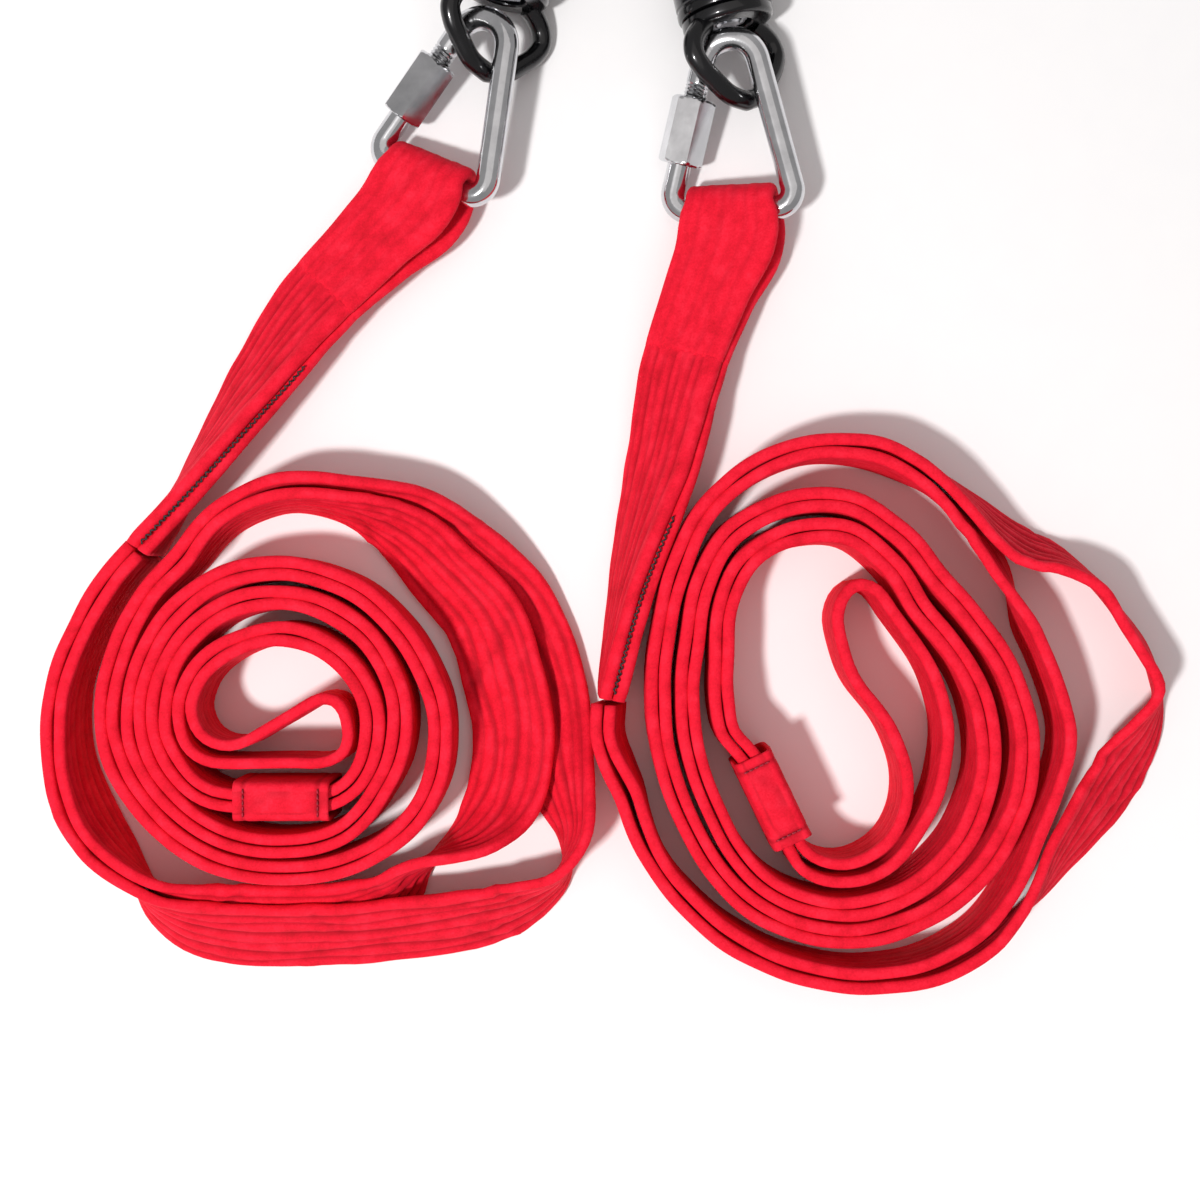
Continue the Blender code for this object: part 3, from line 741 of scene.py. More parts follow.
ROUTES = (
    StrapRoute(
        side=Side.LEFT,
        centre=(-127.35, -54.6),
        outer_turn=(
            key(129.5, 99.6), key(150, 97.2), key(180, 96.8, -3), key(210, 93.6, -8),
            key(226, 92.0, 14), key(240, 92.5, 42), key(255, 88.2, 50),
            key(270, 85.6, 50), key(285, 88.0, 50), key(300, 95.0, 50),
            key(312, 106.5, 48), key(322, 117.5, 38), key(330, 125.0, 16),
            key(337, 126.0, -10), key(345, 118.0, -38), key(353, 110.0, -62),
            key(361, 106.4, -78), key(375, 105.0, -84), key(390, 104.0, -80),
            key(405, 101.8, -62), key(420, 102.0, -44), key(435, 101.6, -18),
            key(450, 103.0, -5), key(465, 97.0, -3), key(480, 86.9)),
        inner_turn=(
            key(129.5, 94.2), key(150, 91.8), key(180, 91.4, -3), key(210, 88.0, -8),
            key(226, 86.2, 14), key(240, 85.0, 42), key(255, 79.9, 50),
            key(270, 77.3, 50), key(285, 78.8, 50), key(300, 78.6, 37),
            key(312, 76.0, 14), key(322, 80.5, -6), key(330, 86.0, -26),
            key(337, 90.0, -48), key(345, 91.5, -64, 12.6), key(353, 91.5, -71, 11.0),
            key(360, 91.0, -73, 10.6), key(375, 89.4, -73, 10.4),
            key(390, 91.4, -70, 11.4), key(405, 90.0, -62), key(420, 93.8, -44),
            key(435, 95.0, -18), key(450, 95.8, -7), key(465, 91.0, -4),
            key(480, 81.1)),
        # middle of the two legs, every 30 degrees from where they come together
        pair_radii=(83.9, 76.6, 72.6, 64.4, 59.0, 56.0, 58.4, 62.4, 62.7, 62.0,
                    64.3, 67.5, 68.4, 65.2, 61.6, 53.6, 48.0, 45.0, 45.7, 44.2,
                    46.1, 48.9, 52.2, 55.4, 57.0, 55.0, 51.1),
        to_keeper=((-172.6, -66.8), (-165.2, -75.2), (-156.4, -79.9),
                   (-146.0, -81.2), (-134.0, -81.2), (-122.0, -81.2),
                   (-111.6, -81.1), (-102.8, -77.0), (-95.4, -67.4),
                   (-92.4, -54.8), (-93.4, -42.6), (-98.4, -31.4),
                   (-106.6, -22.6), (-117.4, -16.2), (-130.6, -13.8),
                   (-145.4, -16.8), (-157.4, -23.4), (-165.2, -32.6),
                   (-168.3, -43.0)),
        loop=((-170.2, -53.0), (-166.2, -60.6), (-158.6, -65.2), (-149.2, -66.2),
              (-138.9, -66.0), (-123.3, -65.8), (-111.5, -65.6), (-105.6, -63.2),
              (-102.6, -58.2), (-102.4, -51.6), (-103.6, -45.8),
              (-107.2, -41.0), (-112.8, -40.0), (-118.6, -42.6),
              (-126.2, -47.2), (-133.7, -51.6), (-140.9, -55.8),
              (-147.6, -58.7), (-154.0, -58.4), (-160.0, -55.6),
              (-164.0, -50.6)),
        keeper_at=(-131.8, -81.3),
        eye=((-71.3, 175.4, 16.2, 74), (-75.7, 166.4, 16.2, 73.5),
             (-93.4, 148.4, 15.8, 71), (-116.8, 125.2, 15.6, 62),
             (-141.6, 90.4, 17.4, 42), (-169.6, 47.4, 19.4, 16),
             (-189.0, 20.2, 19.5, 1)),
        stitch_from=96.0,
        link_pitch=9.0,
        swivel_tip=(-47.8, 214.4),
        swivel_yaw=-12.0,
    ),
    StrapRoute(
        side=Side.RIGHT,
        centre=(101.1, -54.6),
        outer_turn=(
            key(173, 100.8, -8), key(180, 100.4, -8), key(195, 96.0, -3),
            key(210, 96.6),
            key(240, 99.2), key(270, 102.8), key(295, 106.0), key(310, 105.6, 8),
            key(320, 104.2, 20), key(330, 103.8, 32), key(340, 108.0, 42),
            key(349, 114.5, 48), key(357, 121.0, 42), key(363, 128.6, 26),
            key(368, 131.6, 14), key(375, 128.6, 16), key(382, 124.6, 14),
            key(390, 121.4, 10), key(397, 116.0, 16), key(404, 108.6, 26),
            key(412, 106.0, 24), key(420, 108.0, 17), key(430, 112.8, 8),
            key(440, 117.6), key(450, 120.0), key(465, 119.0), key(480, 112.2)),
        inner_turn=(
            key(173, 95.4, -8), key(180, 94.8, -8), key(195, 88.8, -3),
            key(210, 90.8),
            key(240, 93.2), key(270, 97.0), key(295, 98.6), key(310, 95.4),
            key(320, 91.8), key(330, 88.4), key(340, 87.4), key(349, 88.8),
            key(357, 90.4), key(363, 89.6), key(368, 88.6), key(375, 87.2),
            key(382, 86.8), key(390, 87.2), key(397, 89.0, 8), key(404, 92.4, 17),
            key(412, 96.8, 20), key(420, 100.4, 15), key(430, 106.0, 8),
            key(440, 111.4), key(450, 114.4), key(465, 113.6), key(480, 106.6)),
        pair_radii=(109.4, 86.6, 76.4, 74.6, 80.0, 81.9, 79.2, 75.6, 72.4, 68.8,
                    72.8, 94.2, 94.4, 73.6, 64.7, 63.0, 69.2, 70.8, 66.7, 60.8,
                    56.6, 54.8, 58.4, 81.6, 81.8, 59.6, 48.6),
        to_keeper=((61.0, -64.4), (65.6, -72.0), (70.0, -81.0), (74.6, -90.6),
                   (80.0, -101.6)),
        loop_out=((81.0, -108.2), (88.6, -112.8), (99.2, -114.2),
                  (110.8, -112.0), (120.6, -105.6),
                  (128.6, -95.6), (135.6, -82.4), (140.2, -67.4),
                  (141.4, -52.6), (137.6, -35.0), (129.6, -19.6),
                  (119.4, -5.4)),
        loop=((109.8, 5.4), (103.6, 6.0), (98.8, 0.6), (96.6, -7.4),
              (97.9, -17.0), (101.2, -27.4), (106.2, -36.0), (112.4, -43.8),
              (118.2, -52.4), (122.2, -62.2), (124.6, -73.4), (124.0, -84.8),
              (119.0, -95.4), (110.4, -103.2), (99.6, -107.0),
              (91.2, -106.0), (86.2, -103.8)),
        keeper_at=(70.8, -82.6),
        eye=((55.2, 162.4, 16.2, 74), (54.9, 152.4, 16.2, 73.5),
             (45.6, 128.0, 15.8, 71), (36.0, 102.0, 15.6, 60),
             (26.4, 58.0, 17.4, 42), (13.2, 6.0, 19.4, 16),
             (4.2, -42.0, 19.5, 1)),
        stitch_from=132.0,
        link_pitch=9.0,
        swivel_tip=(61.5, 202.6),
        swivel_yaw=13.0,
    ),
)


# ---- the pieces ---------------------------------------------------------------------
@dataclass
class StrapPart:
    """What every sub-assembly of a strap knows: its route and the finishes."""

    route: StrapRoute
    palette: Palette

    @property
    def name(self) -> str:
        """Which strap it belongs to, as its pieces' names begin."""
        return self.route.side.value


@dataclass
class CoveredBand(StrapPart):
    """The padded velour band: two coiled legs and the hand loop between them."""

    width: float = 36.4
    thick: float = 4.5
    spacing: float = 3.3

    # place across, depth and breadth of each pleat
    PLEATS = ((-13.4, 0.9, 0.9), (-8.2, 1.25, 1.2), (-2.6, 0.8, 0.8), (3.1, 1.3, 1.3),
              (8.8, 0.9, 0.9), (13.2, 1.1, 1.0))
    FULL_TWIST = 25.0       # lean in degrees at which slanting folds show fully
    LOWEST = 0.35           # no part of the velour hangs lower over the table

    def build(self) -> None:
        """Sweep a stadium along the route, with pleats, wrinkles and a wavy edge.

        Each face is cut by long pleats, bells that wander a little across the width. Where the
        band leans, slanting folds cross them. The whole edge waves gently, and the width
        breathes with a slow ripple. The band is slimmer and straight where the keeper holds it.
        """
        rows = resample(self.route.band_stations(), self.spacing)
        points, wide = leaning(rows)
        wide, thick = frames(points, wide)
        run = chord_knots(points)[:, None]
        w, t = stadium(self.width, self.thick, 34, 6, 0.7)
        face = np.abs(t) / (self.thick / 2)
        still = 0 * w
        twist = np.clip(np.abs(rows[:, 3:4]) / self.FULL_TWIST, 0, 1)
        pleats = 0.0
        for n, (at, depth, broad) in enumerate(self.PLEATS):
            stray = 0.9 * ripple(run, still, (97, 61), 0, n)
            pleats = pleats + depth * np.exp(-((w - at - stray) / broad) ** 2)
        here = np.clip(ripple(run, still, (63.0, 97.0), 0, 12), 0, 1)
        folds = ripple(run, w, (9.5, 14.0, 21.0), 0.9, 11) * here
        snug = np.clip(2.2 - np.hypot(*(rows[:, :2] - self.route.keeper_at).T) / 24, 0, 1)[:, None]
        waves = 0.22 * (1 - snug) * ripple(run, still, (29.0, 51.0), 0, 8) * (w / 18) ** 2
        tt = (t * (1 + 0.1 * (1 - twist) * (1 - snug)) - np.sign(t) * face * pleats * (0.5 + 0.5 * twist)
              + 0.4 * twist * face * folds + waves)
        ww = w * (1 + 0.008 * ripple(run, still, (38.0, 61.0, 23.0), 0, 4))
        # painted shade: darker in the pleat grooves and in the troughs of the slanting folds
        fold_shade = face * (0.7 * pleats * (0.35 + 0.65 * twist)
                         + 0.35 * twist * np.clip(-folds * np.sign(t), 0, 1))
        rings = lay(points, wide, thick, ww, tt)
        rings[..., 2] = np.maximum(rings[..., 2], self.LOWEST)
        piece = make_piece(f"{self.name}_velour_band", capped_sweep(rings), fold_shade=fold_shade)
        piece.data.materials.append(self.palette.velour)
        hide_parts(f"{self.name}_band")
        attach(piece, f"{self.name}_strap")
        LOG.info("%s band, %d stations", self.name, len(rows))


@dataclass
class SewnEye(StrapPart):
    """The folded and stitched eye: inner webbing, smooth sleeve, gathered splice, thread."""

    width: float = 37.0
    thick: float = 5.0

    # place across and relative depth of each gather
    GATHERS = ((-14.6, 0.7), (-11.0, 1.0), (-6.2, 0.75), (-2.4, 1.0), (2.2, 0.7), (6.4, 1.0),
               (11.6, 0.85))
    BORE = (33.4, 2.9)      # width and thickness of the room for the webbing
    SLEEVE_PROUD = 0.35     # how far the sleeve stands over the covers that it hides
    STITCH_PITCH = 2.6
    STITCH_SWING = 0.85
    THREAD_RADIUS = 0.36

    def layers(self, start: float, stop: float,
               turn_back: bool) -> tuple[tuple[Array, Array, Array], ...]:
        """Return each layer's points and directions, or one run round the bar.

        Args:
            start: First distance from the bar.
            stop: Last distance.
            turn_back: Whether the two layers are joined round the bar.

        Returns:
            One or two sets of points, width and thickness directions.
        """
        points, wide, thick, run = self.route.eye_line()
        at = np.linspace(start, stop, max(3, int((stop - start) / 2.4)))
        points, wide, thick = (hermite(run, v, at) for v in (points, wide, thick))
        u = np.clip(at / self.route.HEM_AT, 0, 1)
        spread = 2 * self.route.EYE_BEND - self.route.EYE_STACK
        gap = self.route.EYE_STACK + spread * (1 - u * u * (3 - 2 * u))
        upper, lower = points + thick * gap[:, None] / 2, points - thick * gap[:, None] / 2
        if not turn_back:
            return (upper, wide, thick), (lower, wide, -thick)
        away = np.cross(thick[0], wide[0])
        away *= np.sign(np.dot(away, points[0] - points[1]))
        arc = np.radians(np.linspace(-84, 84, 15))[:, None]
        out = np.sin(arc) * thick[0] + np.cos(arc) * away
        return ((np.vstack([lower[::-1], points[0] + self.route.EYE_BEND * out, upper]),
                 np.vstack([wide[::-1], np.repeat(wide[:1], len(arc), 0), wide]),
                 np.vstack([-thick[::-1], out, thick])),)

    def cover(self, node: str, line: tuple[Array, Array, Array], gather: float, seed: int,
              flare: float = 0.0) -> None:
        """Make one velour cover round the webbing.

        The outer skin is a stadium whose face swells by about half the gather depth, is cut by
        gathers, bells that wander across the width, and is puckered by slanting ripples. A
        flared cover also stands prouder past the fold. All of it fades out at both ends. The
        bore is a plain stadium.

        Args:
            node: The CAD node it stands for.
            line: Points, width and thickness directions.
            gather: Depth of the gathers in millimetres.
            seed: Picks their wandering.
            flare: Extra width just past the fold round the bar, in millimetres.
        """
        points, wide, thick = line
        run = np.concatenate([[0], np.cumsum(np.linalg.norm(np.diff(points, axis=0), axis=1))])[:, None]
        w, t = stadium(self.width, self.thick, 26, 5)
        face = np.clip(t / (self.thick / 2), 0, 1)
        still = 0 * w
        grooves = 0.0
        for n, (at, depth) in enumerate(self.GATHERS):
            stray = 0.5 * ripple(run, still, (110, 71), 0, seed + n)
            grooves = grooves + depth * np.exp(-((w - at - stray) / 0.95) ** 2)
        ridges = ripple(run, w, (23.0, 41.0), 2.5, seed)
        out = np.abs(run - run[-1] / 2) - math.pi / 2 * self.route.EYE_BEND
        raised = self.SLEEVE_PROUD * np.clip(out / 8, 0, 1) if flare else 0.0
        ends = np.clip(np.minimum(run, run[-1] - run) / (0.8 if flare else 4.0), 0, 1)
        tt = t + face * (gather * (0.55 - 1.15 * grooves) + 0.09 * ridges + raised) * ends
        ww = w * (1 + (flare * np.exp(-((out - 12) / 15) ** 2) * np.clip(out / 4 + 0.5, 0, 1)
                       + 0.5 * gather * ripple(run, still, (21, 34), 0, seed + 9) * ends) / self.width)
        outer = lay(points, wide, thick, ww, tt)
        # painted shade: darker in the gathers' grooves and in the ripples' troughs
        fold_shade = face * ends * (np.clip(0.2 + 0.6 * gather, 0, 1) * grooves
                                + 0.15 * np.clip(-ridges, 0, 1))
        inner = lay(points, wide, thick, *stadium(*self.BORE, 26, 5))
        piece = make_piece(f"{node}_cover", hollow_sweep(outer, inner), fold_shade=fold_shade)
        piece.data.materials.append(self.palette.velour)
        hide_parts(node)
        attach(piece, f"{self.name}_strap")
        LOG.info("%s", piece.name)

    def thread(self) -> None:
        """Sew the layers' edges together with a black zigzag.

        The zigzag's offset across the seam is a smoothed triangle wave, and the thread stands
        furthest proud as it crosses the seam.
        """
        points, wide, thick, run = self.route.eye_line()
        at = np.arange(self.route.stitch_from, run[-1] - 4, 0.3)
        points, wide, thick = (hermite(run, v, at) for v in (points, wide, thick))
        phase = (at - at[0]) / self.STITCH_PITCH
        swing = np.arcsin(0.97 * np.sin(2 * math.pi * phase)) / (math.pi / 2)
        proud = self.width / 2 - 0.1 + 0.5 * (1 - swing**2)
        path = points + wide * proud[:, None] + thick * (self.STITCH_SWING * swing)[:, None]
        strand = lay(path, *frames(path, wide), *circle(self.THREAD_RADIUS))
        piece = make_piece(f"{self.name}_zigzag_thread", capped_sweep(strand))
        piece.data.materials.append(self.palette.black_thread)
        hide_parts(f"{self.name}_splice_stitching")
        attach(piece, f"{self.name}_strap")

    def build(self) -> None:
        """Make the covers and the thread."""
        end = self.route.eye_line()[3][-1] - 1.3
        self.cover(f"{self.name}_eye_sleeve", self.layers(0.0, self.route.HEM_AT, True)[0], 0.16, 21, 5.5)
        upper, lower = self.layers(self.route.HEM_AT - 2.5, end, False)
        self.cover(f"{self.name}_splice_upper", upper, 0.85, 31)
        self.cover(f"{self.name}_splice_lower", lower, 0.7, 47)
        self.thread()

    def dress(self) -> None:
        """Give the webbing inside the sleeves its weave."""
        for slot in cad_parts[f"{self.name}_eye_webbing"].material_slots:
            slot.material = self.palette.webbing


@dataclass
class Keeper(StrapPart):
    """The velour loop that slides along both legs, with two rows of stitching."""

    length: float = 38.5
    depth: float = 17.0
    wall: float = 1.65
    height = 42.4

    ROW_INSET = 4.2         # from the keeper's end to a row of stitches
    SQUARENESS = 0.32       # power of the section's cosines; 1 would be an ellipse
    STITCH_LENGTH = 1.7
    STITCH_PITCH = 2.3
    THREAD_RADIUS = 0.34

    def build(self) -> None:
        """Sweep a soft box section and sew it with two rows.

        The section is a rounded oblong: the width goes with a low power of the cosine, and the
        thickness with the same power of the sine. Narrow bells pinch it at the two rows, three
        wandering bells groove its top and bottom, and a slanting ripple puckers all of it.
        The pinches and grooves also get painted shade.
        """
        frame_matrix = self.route.keeper_frame()
        half = self.length / 2
        x = np.linspace(-half, half, 41)
        m = np.array(frame_matrix)
        points = np.column_stack([x, 0 * x, 0 * x]) @ m[:3, :3].T + m[:3, 3]
        wide = np.tile(m[:3, 2], (len(x), 1))
        thick = np.tile(m[:3, 1], (len(x), 1))
        across, through = (np.sign(v) * np.abs(v) ** self.SQUARENESS for v in circle(1.0, 72))
        w, t = across * self.height / 2, through * self.depth / 2
        rows = (("a", -half + self.ROW_INSET), ("b", half - self.ROW_INSET))
        pinch = sum(np.exp(-((x - at) / 0.8) ** 2) for _, at in rows)[:, None]
        lines = sum(np.exp(-((t - at - 0.3 * ripple(x[:, None], 0 * t, (23.0, 14.0), 0, n)) / 0.5) ** 2)
                    for n, at in enumerate((-4.6, -0.6, 3.6))) * (np.abs(w) > self.height / 2 - 1.5)
        shrink = 1 - 0.022 * pinch - 0.014 * lines + 0.004 * ripple(x[:, None], w + t, (11.0, 7.0), 0.7, 17)
        outer = lay(points, wide, thick, w * shrink, t * shrink)
        inner = lay(points, wide, thick, across * (self.height / 2 - self.wall),
                    through * (self.depth / 2 - self.wall))
        # painted shade: darker at the pinched stitch rows and in the grooves
        piece = make_piece(f"{self.name}_keeper_cover", hollow_sweep(outer, inner),
                           fold_shade=0.8 * pinch + 0.6 * lines)
        piece.data.materials.append(self.palette.velour)
        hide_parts(f"{self.name}_keeper")
        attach(piece, f"{self.name}_keeper_loop")
        for row, at in rows:
            self.stitch_row(row, at, frame_matrix)
        LOG.info("%s keeper", self.name)

    def stitch_row(self, row: str, at: float, frame_matrix: Matrix) -> None:
        """Lay a row of small rounded stitches across the keeper's top.

        Each stitch is a tube whose height over the cloth follows a half sine along it.

        Args:
            row: The row's letter.
            at: Its place along the keeper.
            frame_matrix: The keeper's place.
        """
        reach = self.depth / 2 - 2.6
        u = np.linspace(0, 1, 7)
        shells = []
        for begin in np.arange(-reach, reach - 1.6, self.STITCH_PITCH):
            y = begin + self.STITCH_LENGTH * u
            z = self.height / 2 - 0.35 + 0.55 * np.sin(math.pi * u)
            path = np.column_stack([np.full(7, at), y, z])
            wide, thick = frames(path, np.tile((1.0, 0, 0), (7, 1)))
            shells.append(capped_sweep(lay(path, wide, thick, *circle(self.THREAD_RADIUS))))
        piece = make_piece(f"{self.name}_keeper_stitches_{row}", placed(merge(shells), frame_matrix))
        piece.data.materials.append(self.palette.red_thread)
        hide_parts(f"{self.name}_keeper_stitching_{row}")
        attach(piece, f"{self.name}_keeper_loop")


@dataclass
class QuickLink(StrapPart):
    """The delta quick link: a bent round bar and its hexagonal nut."""

    rod: float = 5.0            # radius of the bar
    bar_half: float = 27.5      # half the base of the triangle that the bends round off
    apex: float = 103.0         # height of that triangle
    corner: float = 7.0         # bend radius at each end of the base
    top: float = 11.8           # bend radius at the top
    nut_start: float = 20.0     # from the triangle's corner to the nut, along the leg
    nut_length: float = 27.6
    flats: float = 16.5         # across the nut's flats
    bore: float = 5.35          # radius of the nut's bore
    gap: float = 5.5            # between the bar's two ends, inside the nut

    THREAD_PITCH = 1.5
    THREAD_LENGTH = 8.6
    STUB_INSIDE = 2.5       # how far the bar's threaded end stays inside the nut's end

    def bend(self, before: Array, at: Array, after: Array, radius: float, count: int) -> Array:
        """Return the arc that rounds one corner of a path.

        Args:
            before: The corner before.
            at: The corner.
            after: The corner after.
            radius: The bend's radius.
            count: Points on the arc.

        Returns:
            Points of the arc.
        """
        a, b = (to / np.linalg.norm(to) for to in (before - at, after - at))
        half = math.acos(float(a @ b)) / 2
        centre = at + (a + b) / np.linalg.norm(a + b) * radius / math.sin(half)
        start = at + a * radius / math.tan(half) - centre
        turn = np.linspace(0, math.copysign(math.pi - 2 * half, -(a[0] * b[1] - a[1] * b[0])), count)
        return centre + np.column_stack([start[0] * np.cos(turn) - start[1] * np.sin(turn),
                                         start[0] * np.sin(turn) + start[1] * np.cos(turn)])

    def path(self) -> tuple[Array, float]:
        """Return the bar's middle line and its threaded end's place along it."""
        left, right, top = (np.array(p) for p in ((-self.bar_half, 0.0), (self.bar_half, 0.0),
                                                  (0.0, self.apex)))
        leg = (top - left) / np.linalg.norm(top - left)
        end = self.nut_start + self.nut_length - self.STUB_INSIDE
        rough = np.vstack([[left + leg * (end - self.gap)],
                           self.bend(top, left, right, self.corner, 14),
                           self.bend(left, right, top, self.corner, 14),
                           self.bend(right, top, left, self.top, 22), [left + leg * end]])
        knots = chord_knots(rough)
        fine = np.unique(np.concatenate([knots, np.arange(0, knots[-1], 0.375)]))
        return np.column_stack([np.interp(fine, knots, rough[:, i]) for i in (0, 1)]), knots[-1]

    def build(self) -> None:
        """Sweep the bar, with a cut thread on the stub above the nut, and make the nut.

        The thread lowers the radius by a sine that runs round the bar as a helix, one wave for
        each pitch, and both ends of the bar are slightly rounded off.
        """
        place = self.route.link_frame()
        path, total = self.path()

        def radius(run: Array, turn: Array) -> Array:
            """Return the bar's radius at a distance along it and an angle round it."""
            groove = 0.5 + 0.5 * np.sin(2 * math.pi * run / self.THREAD_PITCH - turn)
            inside = np.clip((run - (total - self.THREAD_LENGTH)) / 0.8, 0, 1)
            ends = np.minimum(np.clip(run / 0.8, 0, 1), np.clip((total - run) / 0.8, 0, 1))
            return (self.rod - 0.5 * groove * inside) * (0.9 + 0.1 * np.sqrt(ends))

        bar = make_piece(f"{self.name}_link_bar", placed(round_bar(path, radius), place), 50)
        bar.data.materials.append(self.palette.stainless)
        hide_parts(f"{self.name}_link")
        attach(bar, f"{self.name}_quick_link")
        lean = math.atan2(self.bar_half, self.apex)
        seat = (place @ Matrix.Translation((-self.bar_half, 0, 0)) @ Matrix.Rotation(-lean, 4, "Z")
                @ Matrix.Translation((0, self.nut_start, 0)))
        nut = make_piece(f"{self.name}_hexagon_nut", placed(self.nut_shape(), seat), 28)
        nut.data.materials.append(self.palette.stainless)
        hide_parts(f"{self.name}_link_nut")
        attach(nut, f"{self.name}_quick_link_nut")
        LOG.info("%s quick link", self.name)

    def nut_shape(self) -> tuple[Array, Faces]:
        """Work out a hexagonal nut with turned, chamfered ends and a plain bore.

        The radius at an angle is the flat's distance over the cosine to the nearest flat's
        middle, never more than the chamfer cone allows at that height.
        """
        a = (np.arange(72) * 2 * math.pi / 72)[None]
        edge = np.array([0, 0.25, 0.6, 1.1, 1.8, 3.0])
        flat = np.linspace(4, self.nut_length - 4, 12)
        y = np.concatenate([edge, flat, self.nut_length - edge[::-1]])[:, None]
        off = np.abs((a % (math.pi / 3)) - math.pi / 6)
        hexagon = self.flats / 2 / np.cos(off)
        cone = self.flats / 2 - 0.5 + 1.7 * np.minimum(y, self.nut_length - y)
        r = np.minimum(hexagon, cone)
        y = np.broadcast_to(y, r.shape)
        outer = np.stack([r * np.cos(a), y, r * np.sin(a)], -1)
        inner = np.stack([self.bore * np.cos(a) + 0 * r, y, self.bore * np.sin(a) + 0 * r], -1)
        return hollow_sweep(outer, inner)


@dataclass
class Swivel(StrapPart):
    """The black swivel: two round-bar eyes on flanged hubs, a barrel, axle and bearing."""

    roll: float = 40.0      # degrees from the upper eye's plane to the lower eye's
    rod = 4.1               # radius of an eye's bar
    tip = 50.0              # from the barrel's middle to the end of an eye's middle line

    # right half of an eye's middle line, from the hub to the tip
    EYE = ((14.4, 17.6), (19.0, 20.8), (22.8, 25.2), (23.9, 30.0), (21.4, 35.6), (15.8, 41.4),
           (8.6, 47.4), (0.0, 50.0))

    def eye(self, label: str, matrix: Matrix, body: str) -> None:
        """Make one eye: a smooth round bar forged onto a flange with a stepped bore.

        Args:
            label: Upper or lower.
            matrix: Its place.
            body: The body it rides on.
        """
        half = np.array(self.EYE)
        knots = chord_knots(half)
        curve = hermite(knots, half, np.linspace(0, knots[-1], 60))
        path = np.vstack([curve, (curve * (-1, 1))[-2::-1]])
        bar = round_bar(path, lambda run, turn: self.rod
                        * (1 + 0.1 * np.exp(-np.minimum(run, run[-1] - run) / 4)))
        hub = turned(((5.4, 4.4), (14.6, 4.4), (15.0, 4.8), (15.0, 13.4), (18.4, 13.4), (19.0, 14.0),
                      (19.0, 16.6), (18.7, 17.4), (18.0, 18.1), (17.2, 18.45), (16.4, 18.5), (10.3, 18.5),
                      (9.7, 17.9), (9.7, 10.5), (5.4, 10.5)))
        for part, shape in (("ring", bar), ("flange", hub)):
            piece = make_piece(f"{self.name}_{label}_{part}", placed(shape, matrix), 40)
            piece.data.materials.append(self.palette.anodised)
            if part == "flange":
                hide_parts(f"{self.name}_swivel_{label}_eye")
            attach(piece, body)

    def turned_piece(self, node: str, profile: Sequence[tuple[float, float]], matrix: Matrix,
                     material: bpy.types.Material, slot: str) -> None:
        """Make one turned piece that stands for a CAD node.

        Args:
            node: The node's name without its side.
            profile: Closed profile of radius and height.
            matrix: Its place.
            material: Its finish.
            slot: Not used.
        """
        piece = make_piece(f"{self.name}_turned_{node}", placed(turned(profile), matrix), 30)
        piece.data.materials.append(material)
        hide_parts(f"{self.name}_swivel_{node}")
        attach(piece, f"{self.name}_swivel_top")

    def build(self) -> None:
        """Make both eyes, the barrel, the axle and the bearing."""
        upper = self.route.swivel_frame()
        lower = upper @ Matrix.Rotation(math.radians(self.roll), 4, "Y") @ Matrix.Diagonal((1, -1, 1, 1))
        self.eye("upper", upper, f"{self.name}_swivel_top")
        self.eye("lower", lower, f"{self.name}_swivel_bottom")
        self.turned_piece("barrel", ((15.4, -13), (18.9, -13), (19.7, -12.7), (20.0, -12), (20.0, -9.6),
                                     (19.5, -9.1), (19.5, -8.1), (20.0, -7.6), (20.0, 7.6), (19.5, 8.1),
                                     (19.5, 9.1), (20.0, 9.6), (20.0, 12), (19.7, 12.7), (18.9, 13),
                                     (15.4, 13)), upper, self.palette.anodised, "black_alloy")
        self.turned_piece("axle", ((0.01, -17.8), (4.2, -17.8), (5.0, -17.0), (5.0, 10.9), (8.6, 10.9),
                                   (8.6, 14.6), (8.2, 15.4), (7.4, 15.8), (3.4, 15.8), (3.4, 12.6),
                                   (0.01, 12.6)),
                          upper, self.palette.plated, "plain_steel")
        self.turned_piece("bearing", ((5.9, -4.0), (14.4, -4.0), (14.4, -1.8), (13.2, -1.4), (12.6, 0.0),
                                      (13.2, 1.4), (14.4, 1.8), (14.4, 4.0), (5.9, 4.0)),
                          upper, self.palette.plated, "plain_steel")
        LOG.info("%s swivel", self.name)

    def dress(self) -> None:
        """Give the lock nut its plating."""
        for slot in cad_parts[f"{self.name}_swivel_lock_nut"].material_slots:
            slot.material = self.palette.plated


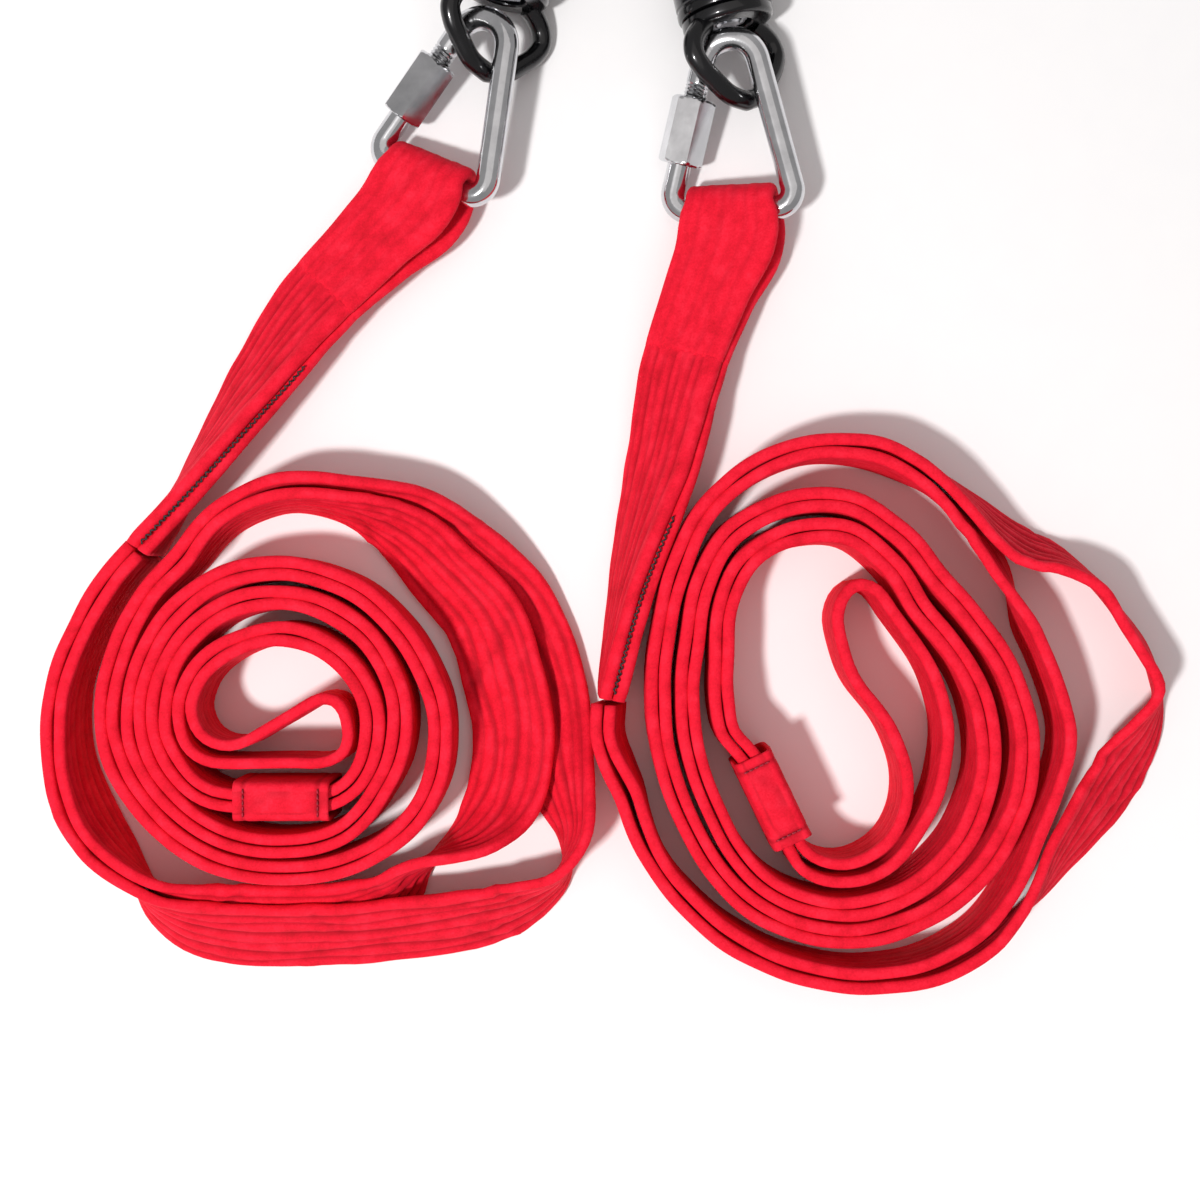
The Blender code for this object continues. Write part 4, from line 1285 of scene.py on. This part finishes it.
@dataclass
class Studio:
    """Pale floor, soft lights and the camera straight above."""

    camera_height: float = 0.78
    view_width: float = 0.510
    sensor_mm: float = 36.0

    def area(self, name: str, place: Sequence[float], target: Sequence[float], size: float,
             power: float, colour: str) -> None:
        """Add one soft light.

        Args:
            name: Its name.
            place: Where it stands.
            target: What it faces.
            size: Its width.
            power: Watts.
            colour: Its colour.
        """
        data = bpy.data.lights.new(name, "AREA")
        data.size, data.energy, data.color = size, power, linear(colour)[:3]
        light = bpy.data.objects.new(name, data)
        light.location = place
        light.rotation_euler = (Vector(target) - Vector(place)).to_track_quat("-Z", "Y").to_euler()
        bpy.context.collection.objects.link(light)

    def build(self) -> None:
        """Set up the floor, lights, surroundings and camera."""
        data = bpy.data.cameras.new("camera")
        data.sensor_width = self.sensor_mm
        data.lens = self.sensor_mm * self.camera_height / self.view_width
        camera = bpy.data.objects.new("camera", data)
        camera.location = (SHIFT[0] * MM, SHIFT[1] * MM, self.camera_height)
        bpy.context.collection.objects.link(camera)
        bpy.context.scene.camera = camera
        mesh = bpy.data.meshes.new("floor")
        reach = 4.0
        corners = [(-reach, -reach, 0), (reach, -reach, 0), (reach, reach, 0), (-reach, reach, 0)]
        mesh.from_pydata(corners, [], [(0, 1, 2, 3)])
        mesh.materials.append(PaperSweep().build())
        floor = bpy.data.objects.new("floor", mesh)
        bpy.context.collection.objects.link(floor)
        centre = (0.0, -0.05, 0.0)
        self.area("key_light", (-0.72, -0.62, 1.8), centre, 0.17, 34.0, "#fffdfb")
        self.area("top_fill", (0.1, 0.1, 2.2), centre, 2.4, 7.0, "#fff8f4")
        world = bpy.data.worlds.new("surroundings")
        world.use_nodes = True
        glow = world.node_tree.nodes["Background"]
        glow.inputs["Color"].default_value = linear("#f8f5f4")
        glow.inputs["Strength"].default_value = 0.4
        bpy.context.scene.world = world
        bpy.context.scene.view_settings.view_transform = "Standard"


def main() -> None:
    """Build every piece in order."""
    logging.basicConfig(level=logging.INFO, format="%(message)s")
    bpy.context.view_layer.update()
    Studio().build()
    palette = Palette()
    for route in ROUTES:
        CoveredBand(route, palette).build()
        eye = SewnEye(route, palette)
        eye.build()
        eye.dress()
        Keeper(route, palette).build()
        QuickLink(route, palette).build()
        swivel = Swivel(route, palette)
        swivel.build()
        swivel.dress()


if __name__ == "__main__":
    main()
